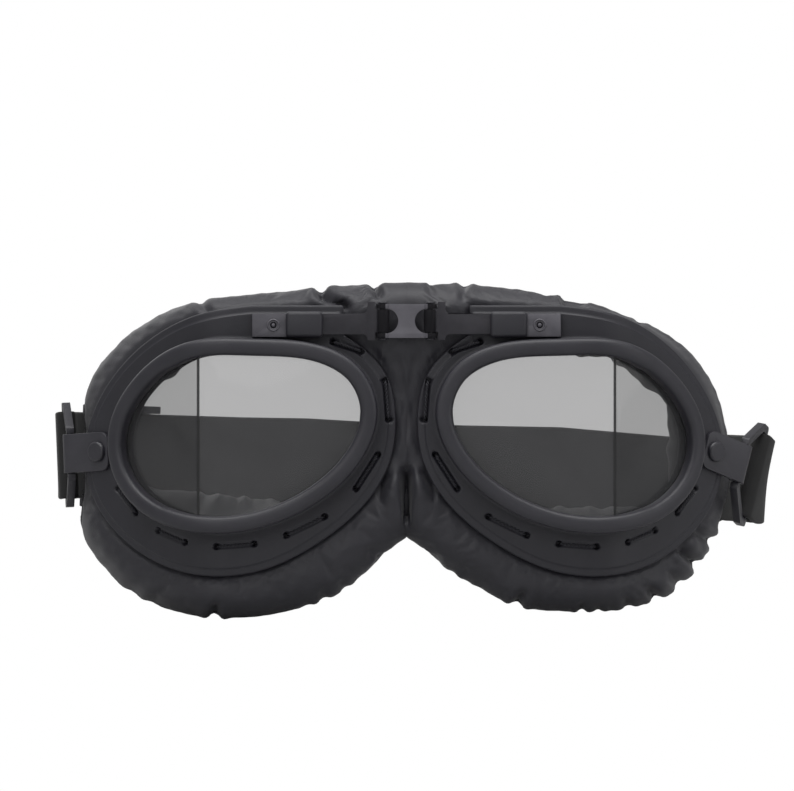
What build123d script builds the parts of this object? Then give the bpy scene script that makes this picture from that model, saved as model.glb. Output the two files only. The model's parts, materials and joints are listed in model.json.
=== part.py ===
"""Padded riding goggles with split lenses, hinged at the bridge.

Every physical piece is its own solid, in millimetres. +X points to the wearer's left, +Z up, and -Y is the way
the wearer looks. The origin is the middle of the flat face side of the padding, between the eyes and level with
the middle of the lenses. Heights in front of that face side are called lifts.

Each eye unit is bent once about a vertical line: the part nearest the nose is flat and the temple part runs
back. A piece of an eye unit is an outline seen from the front, kept only between two lifts of that bent surface.
"""

import os
from math import atan2, cos, degrees, hypot, radians, sin, tan

from build123d import *

# ---- bent surface of an eye unit, seen from above ----
BEND_ANGLE = 38.0  # how far the temple part turns back
BEND_X = 52.2  # bend line on the face side
HALF_BEND = radians(BEND_ANGLE / 2)
FAR = 130.0  # longer than any piece, for cutting blocks
SOFT_BEND = 22.0  # bend radius of the visible front surfaces
OUTLINE_STEPS = 26  # points taken on a line that runs beside another
THROUGH = 8.0  # longer than any hole is deep

# ---- lifts in front of the face side ----
LINING_FRONT = 1.4
COVER_BACK = 1.5
COVER_FRONT = 17.2
FLANGE_BACK = 17.4
FLANGE_FRONT = 19.4
SEAT_LIFT = 22.0  # shelf the gasket lies on
GASKET_FRONT = 22.7
LENS_BACK = 22.8
LENS_FRONT = 24.6
WALL_FRONT = 24.7
RIM_BACK = 24.8
RIM_FRONT = 28.6

# ---- lens rim, the ring seen from the front ----
WALL_INSET = 0.6  # the wall stands this far inside the rim edge
POCKET_INSET = 2.8
LENS_INSET = 2.9
OPENING_INSET = 5.0
RIM_ROUND = 1.7
LENS_SPLIT_X = BEND_X + (LENS_BACK + LENS_FRONT) / 2 * tan(HALF_BEND)
LENS_JOINT_WIDTH = 0.8

# ---- lacing between flange and padding ----
STITCHES = [  # the two ends of each stitch seen from the front, from beside the bridge arm round under the lens
    ((21.4, 27.5), (13.1, 24.8)),
    ((6.2, 16.4), (5.3, 5.0)),
    ((8.4, -5.2), (14.7, -15.0)),
    ((23.8, -23.1), (34.9, -28.5)),
    ((44.2, -31.0), (55.2, -31.8)),
    ((64.4, -30.6), (72.4, -27.2)),
    ((79.0, -22.2), (84.3, -15.2)),
]
STITCH_HOLE_R = 0.95
GROOVE_DEPTH = 0.9
THREAD_R = 0.7

# ---- bridge hardware ----
HINGE_X = 6.9
HINGE_Z = 33.6
HINGE_LIFT = 22.0
PIN_R = 0.90
BORE_R = 0.95
KNUCKLE_R = 1.9
PIN_HEAD_R = 1.4
PIN_HEAD_THICK = 0.5
LINK_HALF_HEIGHT = 4.9
LINK_THICK = 1.6
LINK_NOTCH_X = 6.0
LINK_NOTCH_R = 3.6
ARM_THICK = 1.2
ARM_KNUCKLE_HALF = 3.3
ARM_T_INNER = 9.1
ARM_T_OUTER = 11.3
ARM_T_HALF = 5.6
ARM_Z = 32.7
ARM_HEIGHT = 6.0
ARM_FILLET = 1.4
SLEEVE_X = (24.3, 35.0)
SLEEVE_Z = (28.6, 36.4)
SLEEVE_FRONT = 24.4
SLEEVE_ROUND = 1.0
TAIL_X = (34.0, 44.7)
TAIL_Z = (29.0, 35.5)
TAIL_RIVET_X = 38.6
TAIL_RIVET_Z = 32.4
TAIL_RIVET_R = 0.9
TAIL_RIVET_HEAD_R = 1.4
TAIL_RIVET_HEAD_THICK = 0.8
GAP = 0.1  # between parts that touch in the real object

# ---- temple tab, its rivet and the strap loop ----
TEMPLE_X = 89.5
TEMPLE_Z = -4.4
TAB_HEIGHT = 11.3
TAB_INNER = -3.8
TAB_FOLD = 11.8  # from the rivet to the fold's axis
TAB_THICK = 1.2
TAB_ROUND = 2.5
FOLD_R = 2.2
LOOP_BAR_R = 1.15
FOLD_BORE_R = 1.20
TEMPLE_RIVET_R = 1.5
TEMPLE_RIVET_BORE_R = 1.55
TEMPLE_RIVET_HEAD_R = 3.0
TEMPLE_RIVET_HEAD_THICK = 1.2
TEMPLE_RIVET_TAIL_R = 2.3
TEMPLE_RIVET_TAIL_THICK = 0.7
LOOP_REACH = 14.0  # between the loop's two bars
LOOP_INNER_HALF = 7.1
LOOP_OUTER_HALF = 14.2
LOOP_SHOULDER = 10.5  # where the legs turn parallel
LOOP_LEG_WIDTH = 2.3
LOOP_THICK = 2.2

# How the two sides hang at rest: the tab's droop about its rivet, and how far the loop points outward.
HANG = {"right": {"droop": 3.0, "outward": 5.6}, "left": {"droop": 18.0, "outward": 18.0}}

# ---- padding ----
COVER_SKIN = 1.8
FOAM_GAP = 0.15
PAD_ROUND = 4.0
NOSE_STITCH_COUNT = 6
NOSE_STITCH_TOP = -8.0
NOSE_STITCH_PITCH = 3.0
NOSE_STITCH_LENGTH = 2.0
NOSE_STITCH_R = 0.3

# ---- strap ----
STRAP_WIDTH = 25.0
STRAP_THICK = 1.5
STRAP_Z = -9.1
STRAP_TILT = 2.0
WRAP_R = 1.35 + STRAP_THICK / 2  # centreline of the strap round a loop's bar
WRAP_LEG = 5.0
LAYER_HALF = 0.95  # half the distance between the two layers
STRAP_START = (-99.3, 40.0)  # where the two layers meet behind the wearer's right loop
STRAP_START_WAY = (0.04, 1.0)
SIDE_RUN_START = (-95.5, 62.0)  # straight run on the wearer's right, which carries the slider
SIDE_RUN_END = (-53.0, 94.0)
STRAP_BACK = (0.0, 112.0)
SEAM_START = (101.8, 40.0)  # sewn double length on the wearer's left
SEAM_END = (96.5, 62.0)
TACK_COUNT = 4
TACK_PITCH = 4.5
TACK_LENGTH = 20.0
TACK_R = 0.3
SLIDER_LENGTH = 24.0
SLIDER_HEIGHT = 30.4
SLIDER_BAR = 3.4
SLIDER_RAIL = 2.2
SLIDER_HALF_GAP = 1.95
SLIDER_THICK = 1.3
SLIDER_AT = 13.0  # its middle, from the start of the straight run

SIDES = {"right": -1, "left": 1}


# ---------------------------------------------------------------- bent surface
def bend_corner(lift):
    """Where the flat part and the temple part meet at this lift, seen from above."""
    return BEND_X + lift * tan(HALF_BEND), -lift


def along_temple(start, distance):
    """The point this far along the temple part from a point on it."""
    angle = radians(BEND_ANGLE)
    return start[0] + distance * cos(angle), start[1] + distance * sin(angle)


def surface_line(lift, radius):
    """The bent surface at one lift, seen from above, as a list of curves from the nose to the temple."""
    corner = bend_corner(lift)
    nose = (-5.0, -lift)
    temple = along_temple(corner, FAR)
    if radius == 0:
        return [Line(nose, corner), Line(corner, temple)]
    setback = radius * tan(HALF_BEND)
    before = (corner[0] - setback, -lift)
    after = along_temple(corner, setback)
    middle = (before[0] + radius * sin(HALF_BEND), radius - lift - radius * cos(HALF_BEND))
    return [Line(nose, before), ThreePointArc(before, middle, after), Line(after, temple)]


def bent_layer(back, front, back_radius=0.0, front_radius=0.0):
    """The slab between two lifts of the bent surface, wide and tall enough to hold any outline."""
    rear = surface_line(back, back_radius)
    face = surface_line(front, front_radius)
    ends = [Line(rear[0] @ 0, face[0] @ 0), Line(rear[-1] @ 1, face[-1] @ 1)]
    return extrude(make_face(rear + face + ends), FAR / 2, both=True)


def cut_from(outline, layer):
    """The part of a layer that lies behind an outline seen from the front."""
    return layer & extrude(Plane.XZ * outline, FAR, both=True)


def lift_of(point):
    """How far a point stands in front of the face side's bent surface."""
    angle = radians(BEND_ANGLE)
    return max(-point.Y, (point.X - BEND_X) * sin(angle) - point.Y * cos(angle))


def temple_plane():
    """A plane on the flange at the temple rivet: X along the temple, Y up, Z out of the flange."""
    corner = bend_corner(FLANGE_FRONT)
    reach = (TEMPLE_X - corner[0]) / cos(radians(BEND_ANGLE))
    x, y = along_temple(corner, reach)
    angle = radians(BEND_ANGLE)
    return Plane((x, y, TEMPLE_Z), x_dir=(cos(angle), sin(angle), 0), z_dir=(sin(angle), -cos(angle), 0))


# ---------------------------------------------------------------- outlines seen from the front
def rim_curve():
    """Outer edge of the lens rim: a lying D with a flat top and a cut-away corner beside the nose."""
    return Spline(
        (8.4, 8), (14, 20.6), (27, 27.1), (45, 28.5), (63, 27.5), (78, 17.5), (86, 1.0),
        (83.4, -13.5), (74, -23.5), (60, -27.8), (42, -26.3), (24, -17.8), (12.6, -6),
        periodic=True,
    )


def pad_curve():
    """Outer edge of one half of the padding, from the brow down to the notch over the nose."""
    return Spline(
        (0, 44.9), (20, 43.6), (42, 40.6), (62, 36.4), (76, 30.2), (87, 19.5), (93.6, 5), (94.8, -10),
        (91.5, -27), (84.5, -39.5), (73, -48.2), (58, -51.6), (42, -50.8), (27.5, -46.8), (13.5, -38.6),
        (0, -28.7),
        tangents=[(1, 0), (-0.8, 0.6)],
    )


def flange_outline():
    """Outer edge of the flange, square only at its top corner beside the bridge."""
    top = Line((18.3, 38.2), (45, 38.2))
    sweep = Spline(
        (45, 38.2), (62, 35.2), (77.5, 26.6), (88.5, 14.0), (94.4, -3.0), (91.5, -19), (83, -30),
        (71, -37.6), (55, -40.6), (40, -38.2), (27, -31.8), (12.5, -20), (5.2, -8.5), (3.0, 4.5),
        (6.2, 18.5), (13.5, 26.4), (18.3, 29.6),
        tangents=[(1, 0), (0.8, 0.5)],
    )
    return make_face([top, sweep, Line(sweep @ 1, top @ 0)])


def moved_out(curve, distance, places):
    """Points beside a curve that runs clockwise, this far outside it."""
    points = []
    for place in places:
        way = curve % place
        points.append(curve @ place + Vector(-way.Y, way.X) * distance)
    return points


def rim_line(outset):
    """A closed line that follows the rim's edge, this far outside it."""
    places = [step / OUTLINE_STEPS for step in range(OUTLINE_STEPS)]
    return Spline(*moved_out(rim_curve(), outset, places), periodic=True)


def lens_area(inset):
    """Everything inside a line that follows the rim."""
    return make_face(rim_line(-inset))


def ring(outer_inset, inner_inset):
    """A ring that follows the lens rim, between two distances inside its edge."""
    return lens_area(outer_inset) - lens_area(inner_inset)


def pad_area(inset):
    """One half of the padding's outline, this far inside its outer edge and inside the middle plane."""
    places = [step / OUTLINE_STEPS for step in range(OUTLINE_STEPS + 1)]
    edge = Spline(*moved_out(pad_curve(), -inset, places))
    sides = [edge, Line(edge @ 1, edge @ 0)]
    if inset:
        foot = (0, (edge @ 1).Y)
        sides = [edge, Line(edge @ 1, foot), Line(foot, edge @ 0)]
    return make_face(sides) & box_outline((inset, FAR), (-FAR, FAR))


def box_outline(x, z):
    """A rectangle given by its X and Z ranges."""
    return Pos((x[0] + x[1]) / 2, (z[0] + z[1]) / 2) * Rectangle(x[1] - x[0], z[1] - z[0])


# ---------------------------------------------------------------- eye unit
def stitch_slot(ends, radius):
    """A round-ended slot between the two ends of a stitch."""
    first, last = Vector(*ends[0]), Vector(*ends[1])
    middle = (first + last) / 2
    run = last - first
    turn = degrees(atan2(run.Y, run.X))
    return Pos(middle.X, middle.Y) * Rot(0, 0, turn) * SlotCenterToCenter(run.length, 2 * radius)


def stitch_holes(ends, radius):
    """The two round holes at the ends of a stitch."""
    return Sketch() + [Pos(*end) * Circle(radius) for end in ends]


def box_between(x, lifts, z):
    """A block given by its X range, its lifts and its Z range."""
    middle = ((x[0] + x[1]) / 2, -(lifts[0] + lifts[1]) / 2, (z[0] + z[1]) / 2)
    return Pos(*middle) * Box(x[1] - x[0], lifts[1] - lifts[0], z[1] - z[0])


def arm_slot():
    """The space the bridge arm takes inside the sleeve and over the pad."""
    half = ARM_THICK / 2 + GAP
    lifts = (HINGE_LIFT - half, HINGE_LIFT + half)
    return box_between((0, FAR), lifts, (TAIL_Z[0] - GAP, ARM_Z + ARM_HEIGHT / 2 + GAP))


def frame():
    """Moulded eye frame: flange, lens wall with its shelf, arm sleeve, and holes for lacing and rivets."""
    flange = cut_from(
        flange_outline() - lens_area(OPENING_INSET),
        bent_layer(FLANGE_BACK, FLANGE_FRONT, SOFT_BEND, SOFT_BEND + FLANGE_FRONT - FLANGE_BACK),
    )
    wall = cut_from(ring(WALL_INSET, POCKET_INSET), bent_layer(FLANGE_BACK + 1, WALL_FRONT, SOFT_BEND))
    shelf = cut_from(ring(POCKET_INSET - GAP, OPENING_INSET), bent_layer(FLANGE_BACK + 1, SEAT_LIFT, SOFT_BEND))
    sleeve = box_between(SLEEVE_X, (FLANGE_FRONT, SLEEVE_FRONT), SLEEVE_Z)
    sleeve = fillet(sleeve.edges().group_by(Axis.Y)[0], SLEEVE_ROUND)
    pad = box_between(TAIL_X, (FLANGE_FRONT, HINGE_LIFT - ARM_THICK / 2 - GAP), TAIL_Z)
    body = flange + wall + shelf + sleeve + pad - arm_slot()
    for ends in STITCHES:
        body -= cut_from(stitch_slot(ends, STITCH_HOLE_R), bent_layer(FLANGE_FRONT - GROOVE_DEPTH, FLANGE_FRONT + 1))
        body -= cut_from(stitch_holes(ends, STITCH_HOLE_R), bent_layer(FLANGE_BACK - 1, FLANGE_FRONT + 1))
    hole = Plane((TAIL_RIVET_X, -FLANGE_FRONT, TAIL_RIVET_Z), z_dir=(0, -1, 0))
    body -= hole * Cylinder(TAIL_RIVET_R + GAP / 2, THROUGH / 2)
    plane = temple_plane()
    body -= plane * Cylinder(TEMPLE_RIVET_BORE_R, THROUGH)
    recess = TEMPLE_RIVET_TAIL_THICK + GAP
    depth = FLANGE_BACK - FLANGE_FRONT
    body -= plane * Pos(0, 0, depth + recess / 2) * Cylinder(TEMPLE_RIVET_TAIL_R + GAP, recess)
    return body


def lens_rim():
    """Rounded rim that clips over the wall and holds the lenses down."""
    rim = cut_from(ring(0, OPENING_INSET), bent_layer(RIM_BACK, RIM_FRONT, front_radius=SOFT_BEND))
    middle = (RIM_BACK + RIM_FRONT) / 2
    front_edges = rim.edges().filter_by(lambda edge: lift_of(edge @ 0.5) > middle)
    return fillet(front_edges, RIM_ROUND)


def lens_gasket():
    return cut_from(ring(LENS_INSET, OPENING_INSET), bent_layer(SEAT_LIFT + GAP, GASKET_FRONT))


def lens_pane(low, high):
    """The lens area between two X positions."""
    strip = Pos((low + high) / 2, 0) * Rectangle(high - low, FAR)
    return cut_from(lens_area(LENS_INSET) & strip, bent_layer(LENS_BACK, LENS_FRONT))


def lenses():
    """Front lens, side lens and the bonded joint strip that fills the corner between them."""
    half = LENS_JOINT_WIDTH / 2
    nose_side, temple_side = LENS_SPLIT_X - half, LENS_SPLIT_X + half
    return {
        "front_lens": lens_pane(0, nose_side - GAP / 4),
        "lens_joint": lens_pane(nose_side, temple_side),
        "side_lens": lens_pane(temple_side + GAP / 4, FAR),
    }


def lacing_thread():
    """One staple of thread per stitch: a bar in the groove and a leg in each hole."""
    threads = []
    for ends in STITCHES:
        bar = cut_from(stitch_slot(ends, THREAD_R), bent_layer(FLANGE_FRONT - GROOVE_DEPTH + GAP, FLANGE_FRONT))
        legs = cut_from(stitch_holes(ends, THREAD_R), bent_layer(FLANGE_BACK + 0.2, FLANGE_FRONT - GAP))
        threads.append(bar + legs)
    return threads


# ---------------------------------------------------------------- bridge hardware
def upright(radius, low, high):
    """A round bar along the hinge axis, between two heights from its middle."""
    return Pos(HINGE_X, -HINGE_LIFT, HINGE_Z + (low + high) / 2) * Cylinder(radius, high - low)


def bridge_arm():
    """Pressed arm: middle knuckle, T-shaped end, bar through the sleeve, and a tail plate."""
    tee = box_outline((ARM_T_INNER, ARM_T_OUTER), (HINGE_Z - ARM_T_HALF, HINGE_Z + ARM_T_HALF))
    bar = box_outline((ARM_T_OUTER - 1, TAIL_X[0] + 2), (ARM_Z - ARM_HEIGHT / 2, ARM_Z + ARM_HEIGHT / 2))
    inner = (tee + bar).vertices().filter_by(lambda v: abs(v.X - ARM_T_OUTER) < 0.01 and abs(v.Y - ARM_Z) < 4)
    plate = fillet(inner, ARM_FILLET)
    plate += box_outline(TAIL_X, (TAIL_Z[0], ARM_Z + ARM_HEIGHT / 2))
    neck = box_outline((HINGE_X, ARM_T_INNER + 1), (HINGE_Z - ARM_KNUCKLE_HALF, HINGE_Z + ARM_KNUCKLE_HALF))
    flat = Pos(0, -HINGE_LIFT, 0) * extrude(Plane.XZ * (plate + neck), ARM_THICK / 2, both=True)
    arm = flat + upright(KNUCKLE_R, -ARM_KNUCKLE_HALF, ARM_KNUCKLE_HALF)
    arm -= upright(BORE_R, -LINK_HALF_HEIGHT, LINK_HALF_HEIGHT)
    hole = Plane((TAIL_RIVET_X, -HINGE_LIFT, TAIL_RIVET_Z), z_dir=(0, -1, 0))
    return arm - hole * Cylinder(TAIL_RIVET_R + GAP / 2, THROUGH / 2)


def arm_rivet():
    """Small round-headed rivet that fixes the arm's tail to the frame."""
    foot = FLANGE_BACK + 0.4
    neck = HINGE_LIFT + ARM_THICK / 2 + GAP / 2
    plane = Plane((TAIL_RIVET_X, 0, TAIL_RIVET_Z), z_dir=(0, -1, 0))
    shank = plane * Pos(0, 0, (foot + neck) / 2) * Cylinder(TAIL_RIVET_R, neck - foot)
    head = plane * Pos(0, 0, neck + TAIL_RIVET_HEAD_THICK / 2) * Cylinder(TAIL_RIVET_HEAD_R, TAIL_RIVET_HEAD_THICK)
    return shank + fillet(head.edges().group_by(Axis.Y)[0], TAIL_RIVET_HEAD_THICK * 0.6)


def hinge_pin():
    """Vertical hinge pin with a thin head at each end."""
    top = LINK_HALF_HEIGHT + GAP
    pin = upright(PIN_R, -top - PIN_HEAD_THICK, top + PIN_HEAD_THICK)
    pin += upright(PIN_HEAD_R, top, top + PIN_HEAD_THICK)
    return pin + upright(PIN_HEAD_R, -top - PIN_HEAD_THICK, -top)


def bridge_link():
    """Centre link between the two hinges, notched on both sides for the arms' knuckles."""
    outline = box_outline((-HINGE_X, HINGE_X), (HINGE_Z - LINK_HALF_HEIGHT, HINGE_Z + LINK_HALF_HEIGHT))
    for side in SIDES.values():
        outline -= Pos(side * LINK_NOTCH_X, HINGE_Z) * Circle(LINK_NOTCH_R)
        outline -= Pos(side * (LINK_NOTCH_X + 2), HINGE_Z) * Rectangle(4, 2 * LINK_NOTCH_R)
    link = Pos(0, -HINGE_LIFT, 0) * extrude(Plane.XZ * outline, LINK_THICK / 2, both=True)
    for side in SIDES.values():
        for low in (-LINK_HALF_HEIGHT, LINK_NOTCH_R):
            link += on_side(upright(KNUCKLE_R, low, low + LINK_HALF_HEIGHT - LINK_NOTCH_R), side)
        link -= on_side(upright(BORE_R, -FAR, FAR), side)
    return link


# ---------------------------------------------------------------- temple hardware
def droop(side_name):
    """Turn about the temple rivet that gives one side's droop."""
    plane = temple_plane()
    return plane.location * Rot(0, 0, -HANG[side_name]["droop"]) * plane.location.inverse()


def temple_tab():
    """Plate under the temple rivet, rolled at its outer end round the loop's inner bar."""
    plate = Pos((TAB_INNER + TAB_FOLD) / 2, 0) * Rectangle(TAB_FOLD - TAB_INNER, TAB_HEIGHT)
    plate = fillet(plate.vertices().group_by(Axis.X)[0], TAB_ROUND) - Circle(TEMPLE_RIVET_BORE_R)
    tab = Pos(0, 0, GAP) * extrude(plate, TAB_THICK)
    roll = Pos(TAB_FOLD, 0, GAP + TAB_THICK - FOLD_R) * Rot(90, 0, 0)
    tab += roll * Cylinder(FOLD_R, TAB_HEIGHT)
    tab -= roll * Cylinder(FOLD_BORE_R, TAB_HEIGHT + 1)
    return temple_plane() * tab


def temple_rivet():
    """Domed rivet through the tab and the flange, with its tail sunk into the flange's back."""
    back = FLANGE_BACK - FLANGE_FRONT
    neck = GAP + TAB_THICK + GAP / 2
    rivet = Pos(0, 0, (back + neck) / 2) * Cylinder(TEMPLE_RIVET_R, neck - back)
    head = Pos(0, 0, neck + TEMPLE_RIVET_HEAD_THICK / 2) * Cylinder(TEMPLE_RIVET_HEAD_R, TEMPLE_RIVET_HEAD_THICK)
    rivet += fillet(head.edges().group_by(Axis.Z)[-1], TEMPLE_RIVET_HEAD_THICK * 0.7)
    rivet += Pos(0, 0, back + TEMPLE_RIVET_TAIL_THICK / 2) * Cylinder(TEMPLE_RIVET_TAIL_R, TEMPLE_RIVET_TAIL_THICK)
    return temple_plane() * rivet


def loop_plane(side_name):
    """A plane on the fold's axis: X runs out along the loop towards the strap, Y up."""
    fold = (temple_plane() * Pos(TAB_FOLD, 0, GAP + TAB_THICK - FOLD_R)).position
    outward = radians(HANG[side_name]["outward"])
    flat = Plane(fold, x_dir=(sin(outward), cos(outward), 0), z_dir=(cos(outward), -sin(outward), 0))
    return Plane(droop(side_name) * flat.location)


def strap_loop(side_name):
    """Tapered loop: short bar in the tab's fold, long bar for the strap, and two sloping legs."""
    half_leg = LOOP_LEG_WIDTH / 2
    upper = [(0, LOOP_INNER_HALF), (LOOP_SHOULDER, LOOP_OUTER_HALF), (LOOP_REACH, LOOP_OUTER_HALF)]
    lower = [(x, -y) for x, y in reversed(upper)]
    middle_line = Polygon(*upper, *lower, align=None)
    outline = offset(middle_line, half_leg) - offset(middle_line, -half_leg, kind=Kind.INTERSECTION)
    inner_half, outer_half = LOOP_INNER_HALF - half_leg, LOOP_OUTER_HALF - half_leg
    outline -= box_outline((-FAR, half_leg + GAP), (-inner_half, inner_half))
    outline -= box_outline((LOOP_REACH - half_leg - GAP, FAR), (-outer_half, outer_half))
    loop = extrude(outline, LOOP_THICK / 2, both=True)
    loop += Rot(90, 0, 0) * Cylinder(LOOP_BAR_R, 2 * LOOP_INNER_HALF)
    loop += Pos(LOOP_REACH, 0, 0) * Rot(90, 0, 0) * Cylinder(LOOP_BAR_R, 2 * LOOP_OUTER_HALF)
    return loop_plane(side_name) * loop


# ---------------------------------------------------------------- padding
def both_halves(half):
    return half + mirror(half, about=Plane.YZ)


def mask_cover():
    """Sewn cover of the padding: front skin, outer wall and a wall round each eye, open on the face side."""
    outer = cut_from(pad_area(0), bent_layer(COVER_BACK, COVER_FRONT, SOFT_BEND, SOFT_BEND))
    middle = (COVER_BACK + COVER_FRONT) / 2
    outer = fillet(
        outer.edges().filter_by(lambda edge: lift_of(edge @ 0.5) > middle and (edge @ 0.5).X > GAP), PAD_ROUND
    )
    hollow = cut_from(
        cover_hollow(COVER_SKIN), bent_layer(COVER_BACK - 1, COVER_FRONT - COVER_SKIN, SOFT_BEND, SOFT_BEND)
    )
    eye = cut_from(lens_area(OPENING_INSET), bent_layer(COVER_BACK - 1, FLANGE_BACK))
    return both_halves(outer - eye - hollow)


def cover_hollow(skin):
    """The padding's outline less its skin, inside and out."""
    return pad_area(skin) - lens_area(OPENING_INSET - skin)


def foam_pad():
    """Foam that fills one half of the cover, clear of its skin."""
    outline = cover_hollow(COVER_SKIN + FOAM_GAP)
    layer = bent_layer(COVER_BACK + FOAM_GAP, COVER_FRONT - COVER_SKIN - FOAM_GAP, SOFT_BEND, SOFT_BEND)
    return cut_from(outline, layer)


def face_lining():
    """Soft lining on the face side."""
    outline = pad_area(0) - lens_area(OPENING_INSET)
    return both_halves(cut_from(outline, bent_layer(0, LINING_FRONT, SOFT_BEND, SOFT_BEND)))


def nose_stitching():
    """Short stitches that close the dart over the nose."""
    stitches = []
    for number in range(NOSE_STITCH_COUNT):
        z = NOSE_STITCH_TOP - number * NOSE_STITCH_PITCH
        stitch = Cylinder(NOSE_STITCH_R, NOSE_STITCH_LENGTH)
        stitches.append(Pos(0, -COVER_FRONT - NOSE_STITCH_R - GAP, z) * stitch)
    return stitches


# ---------------------------------------------------------------- strap
def strap_tilt():
    """The strap hangs a little lower on the wearer's left."""
    return Pos(0, 0, STRAP_Z) * Rot(0, STRAP_TILT, 0)


def between(start, end):
    """The direction from one plan point to another."""
    return end[0] - start[0], end[1] - start[1]


def toward(start, way, distance=0.0, aside=0.0):
    """The point this far from start in a direction, moved aside to the left of that direction."""
    length = hypot(*way)
    unit = (way[0] / length, way[1] / length)
    return start[0] + distance * unit[0] - aside * unit[1], start[1] + distance * unit[1] + aside * unit[0]


def ribbon(*curves):
    """Strap webbing standing along plan curves."""
    return strap_tilt() * extrude(trace(list(curves), STRAP_THICK), STRAP_WIDTH / 2, both=True)


def band_section(start, way, aside):
    """The strap's cross-section where one layer starts."""
    x, y = toward(start, way, aside=aside)
    plane = Plane((x, y, 0), x_dir=(0, 0, 1), z_dir=(way[0], way[1], 0))
    return strap_tilt() * plane.location * Rectangle(STRAP_WIDTH, STRAP_THICK)


def wrap(side_name, starts):
    """The strap's turn round one loop's bar, eased into the two layers that start behind it."""
    side = SIDES[side_name]
    turn = Circle(WRAP_R + STRAP_THICK / 2) - Circle(WRAP_R - STRAP_THICK / 2)
    turn &= Pos(-FAR / 2, 0) * Rectangle(FAR, FAR)
    legs = Sketch() + [Pos(WRAP_LEG / 2, face * WRAP_R) * Rectangle(WRAP_LEG, STRAP_THICK) for face in (-1, 1)]
    around = Pos(LOOP_REACH, 0, 0) * Rot(90, 0, 0) * extrude(turn + legs, STRAP_WIDTH / 2, both=True)
    shape = on_side(loop_plane(side_name) * around, side)
    for face, start in starts.items():
        leg_end = Plane((LOOP_REACH + WRAP_LEG, 0, face * WRAP_R), x_dir=(0, 1, 0), z_dir=(1, 0, 0))
        place = loop_plane(side_name).location * leg_end.location
        section = on_side(place * Rectangle(STRAP_WIDTH, STRAP_THICK), side)
        shape += loft([section, start], ruled=True)
    return shape


def on_side(shape, side):
    """A piece built on the wearer's left, or its mirror image on the wearer's right."""
    return shape if side > 0 else mirror(shape, about=Plane.YZ)


def head_strap():
    """One length of webbing, from its tail at the slider round both loops to its sewn end."""
    run_way = between(SIDE_RUN_START, SIDE_RUN_END)
    seam_way = between(SEAM_START, SEAM_END)
    run = hypot(*run_way)
    inner, outer = -LAYER_HALF, LAYER_HALF
    approach = {
        aside: Spline(
            toward(STRAP_START, STRAP_START_WAY, aside=aside),
            toward(SIDE_RUN_START, run_way, aside=aside),
            tangents=[STRAP_START_WAY, run_way],
        )
        for aside in (inner, outer)
    }
    straight = {
        aside: Line(toward(SIDE_RUN_START, run_way, aside=aside), toward(SIDE_RUN_START, run_way, run, aside))
        for aside in (inner, outer)
    }
    seam_inner = Line(toward(SEAM_END, seam_way, aside=LAYER_HALF), toward(SEAM_START, seam_way, aside=LAYER_HALF))
    seam_outer = Line(toward(SEAM_END, seam_way, aside=-LAYER_HALF), toward(SEAM_START, seam_way, aside=-LAYER_HALF))
    back = Spline(
        straight[inner] @ 1, STRAP_BACK, seam_inner @ 0, tangents=[run_way, between(SEAM_END, SEAM_START)]
    )
    band = ribbon(approach[inner], straight[inner], back, seam_inner)
    tail = ribbon(approach[outer], straight[outer])
    right_starts = {
        -1: band_section(STRAP_START, STRAP_START_WAY, inner), 1: band_section(STRAP_START, STRAP_START_WAY, outer)
    }
    left_starts = {
        -1: band_section(SEAM_START, seam_way, LAYER_HALF), 1: band_section(SEAM_START, seam_way, -LAYER_HALF)
    }
    return band + tail + ribbon(seam_outer) + wrap("right", right_starts) + wrap("left", left_starts)


def strap_stitching():
    """Rows of thread across the sewn double length."""
    way = between(SEAM_START, SEAM_END)
    outside = LAYER_HALF + STRAP_THICK / 2 + TACK_R + GAP / 2
    rows = []
    for number in range(TACK_COUNT):
        x, y = toward(SEAM_START, way, (number + 0.5) * TACK_PITCH, -outside)
        rows.append(strap_tilt() * Pos(x, y, 0) * Cylinder(TACK_R, TACK_LENGTH))
    return rows


def strap_slider():
    """Three-bar slider: two rails, two bars over the layers' outer side and one behind them."""
    way = between(SIDE_RUN_START, SIDE_RUN_END)
    x, y = toward(SIDE_RUN_START, way, SLIDER_AT)
    plane = Plane((x, y, 0), x_dir=(way[0], way[1], 0), z_dir=(-way[1], way[0], 0))
    reach = SLIDER_HALF_GAP + SLIDER_THICK
    rail_y = (SLIDER_HEIGHT - SLIDER_RAIL) / 2
    bar_x = (SLIDER_LENGTH - SLIDER_BAR) / 2
    bar_z = SLIDER_HALF_GAP + SLIDER_THICK / 2
    slider = Part() + [Pos(0, side * rail_y, 0) * Box(SLIDER_LENGTH, SLIDER_RAIL, 2 * reach) for side in (-1, 1)]
    for bar_place in ((-bar_x, bar_z), (bar_x, bar_z), (0, -bar_z)):
        slider += Pos(bar_place[0], 0, bar_place[1]) * Box(SLIDER_BAR, SLIDER_HEIGHT, SLIDER_THICK)
    return strap_tilt() * plane.location * slider


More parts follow.
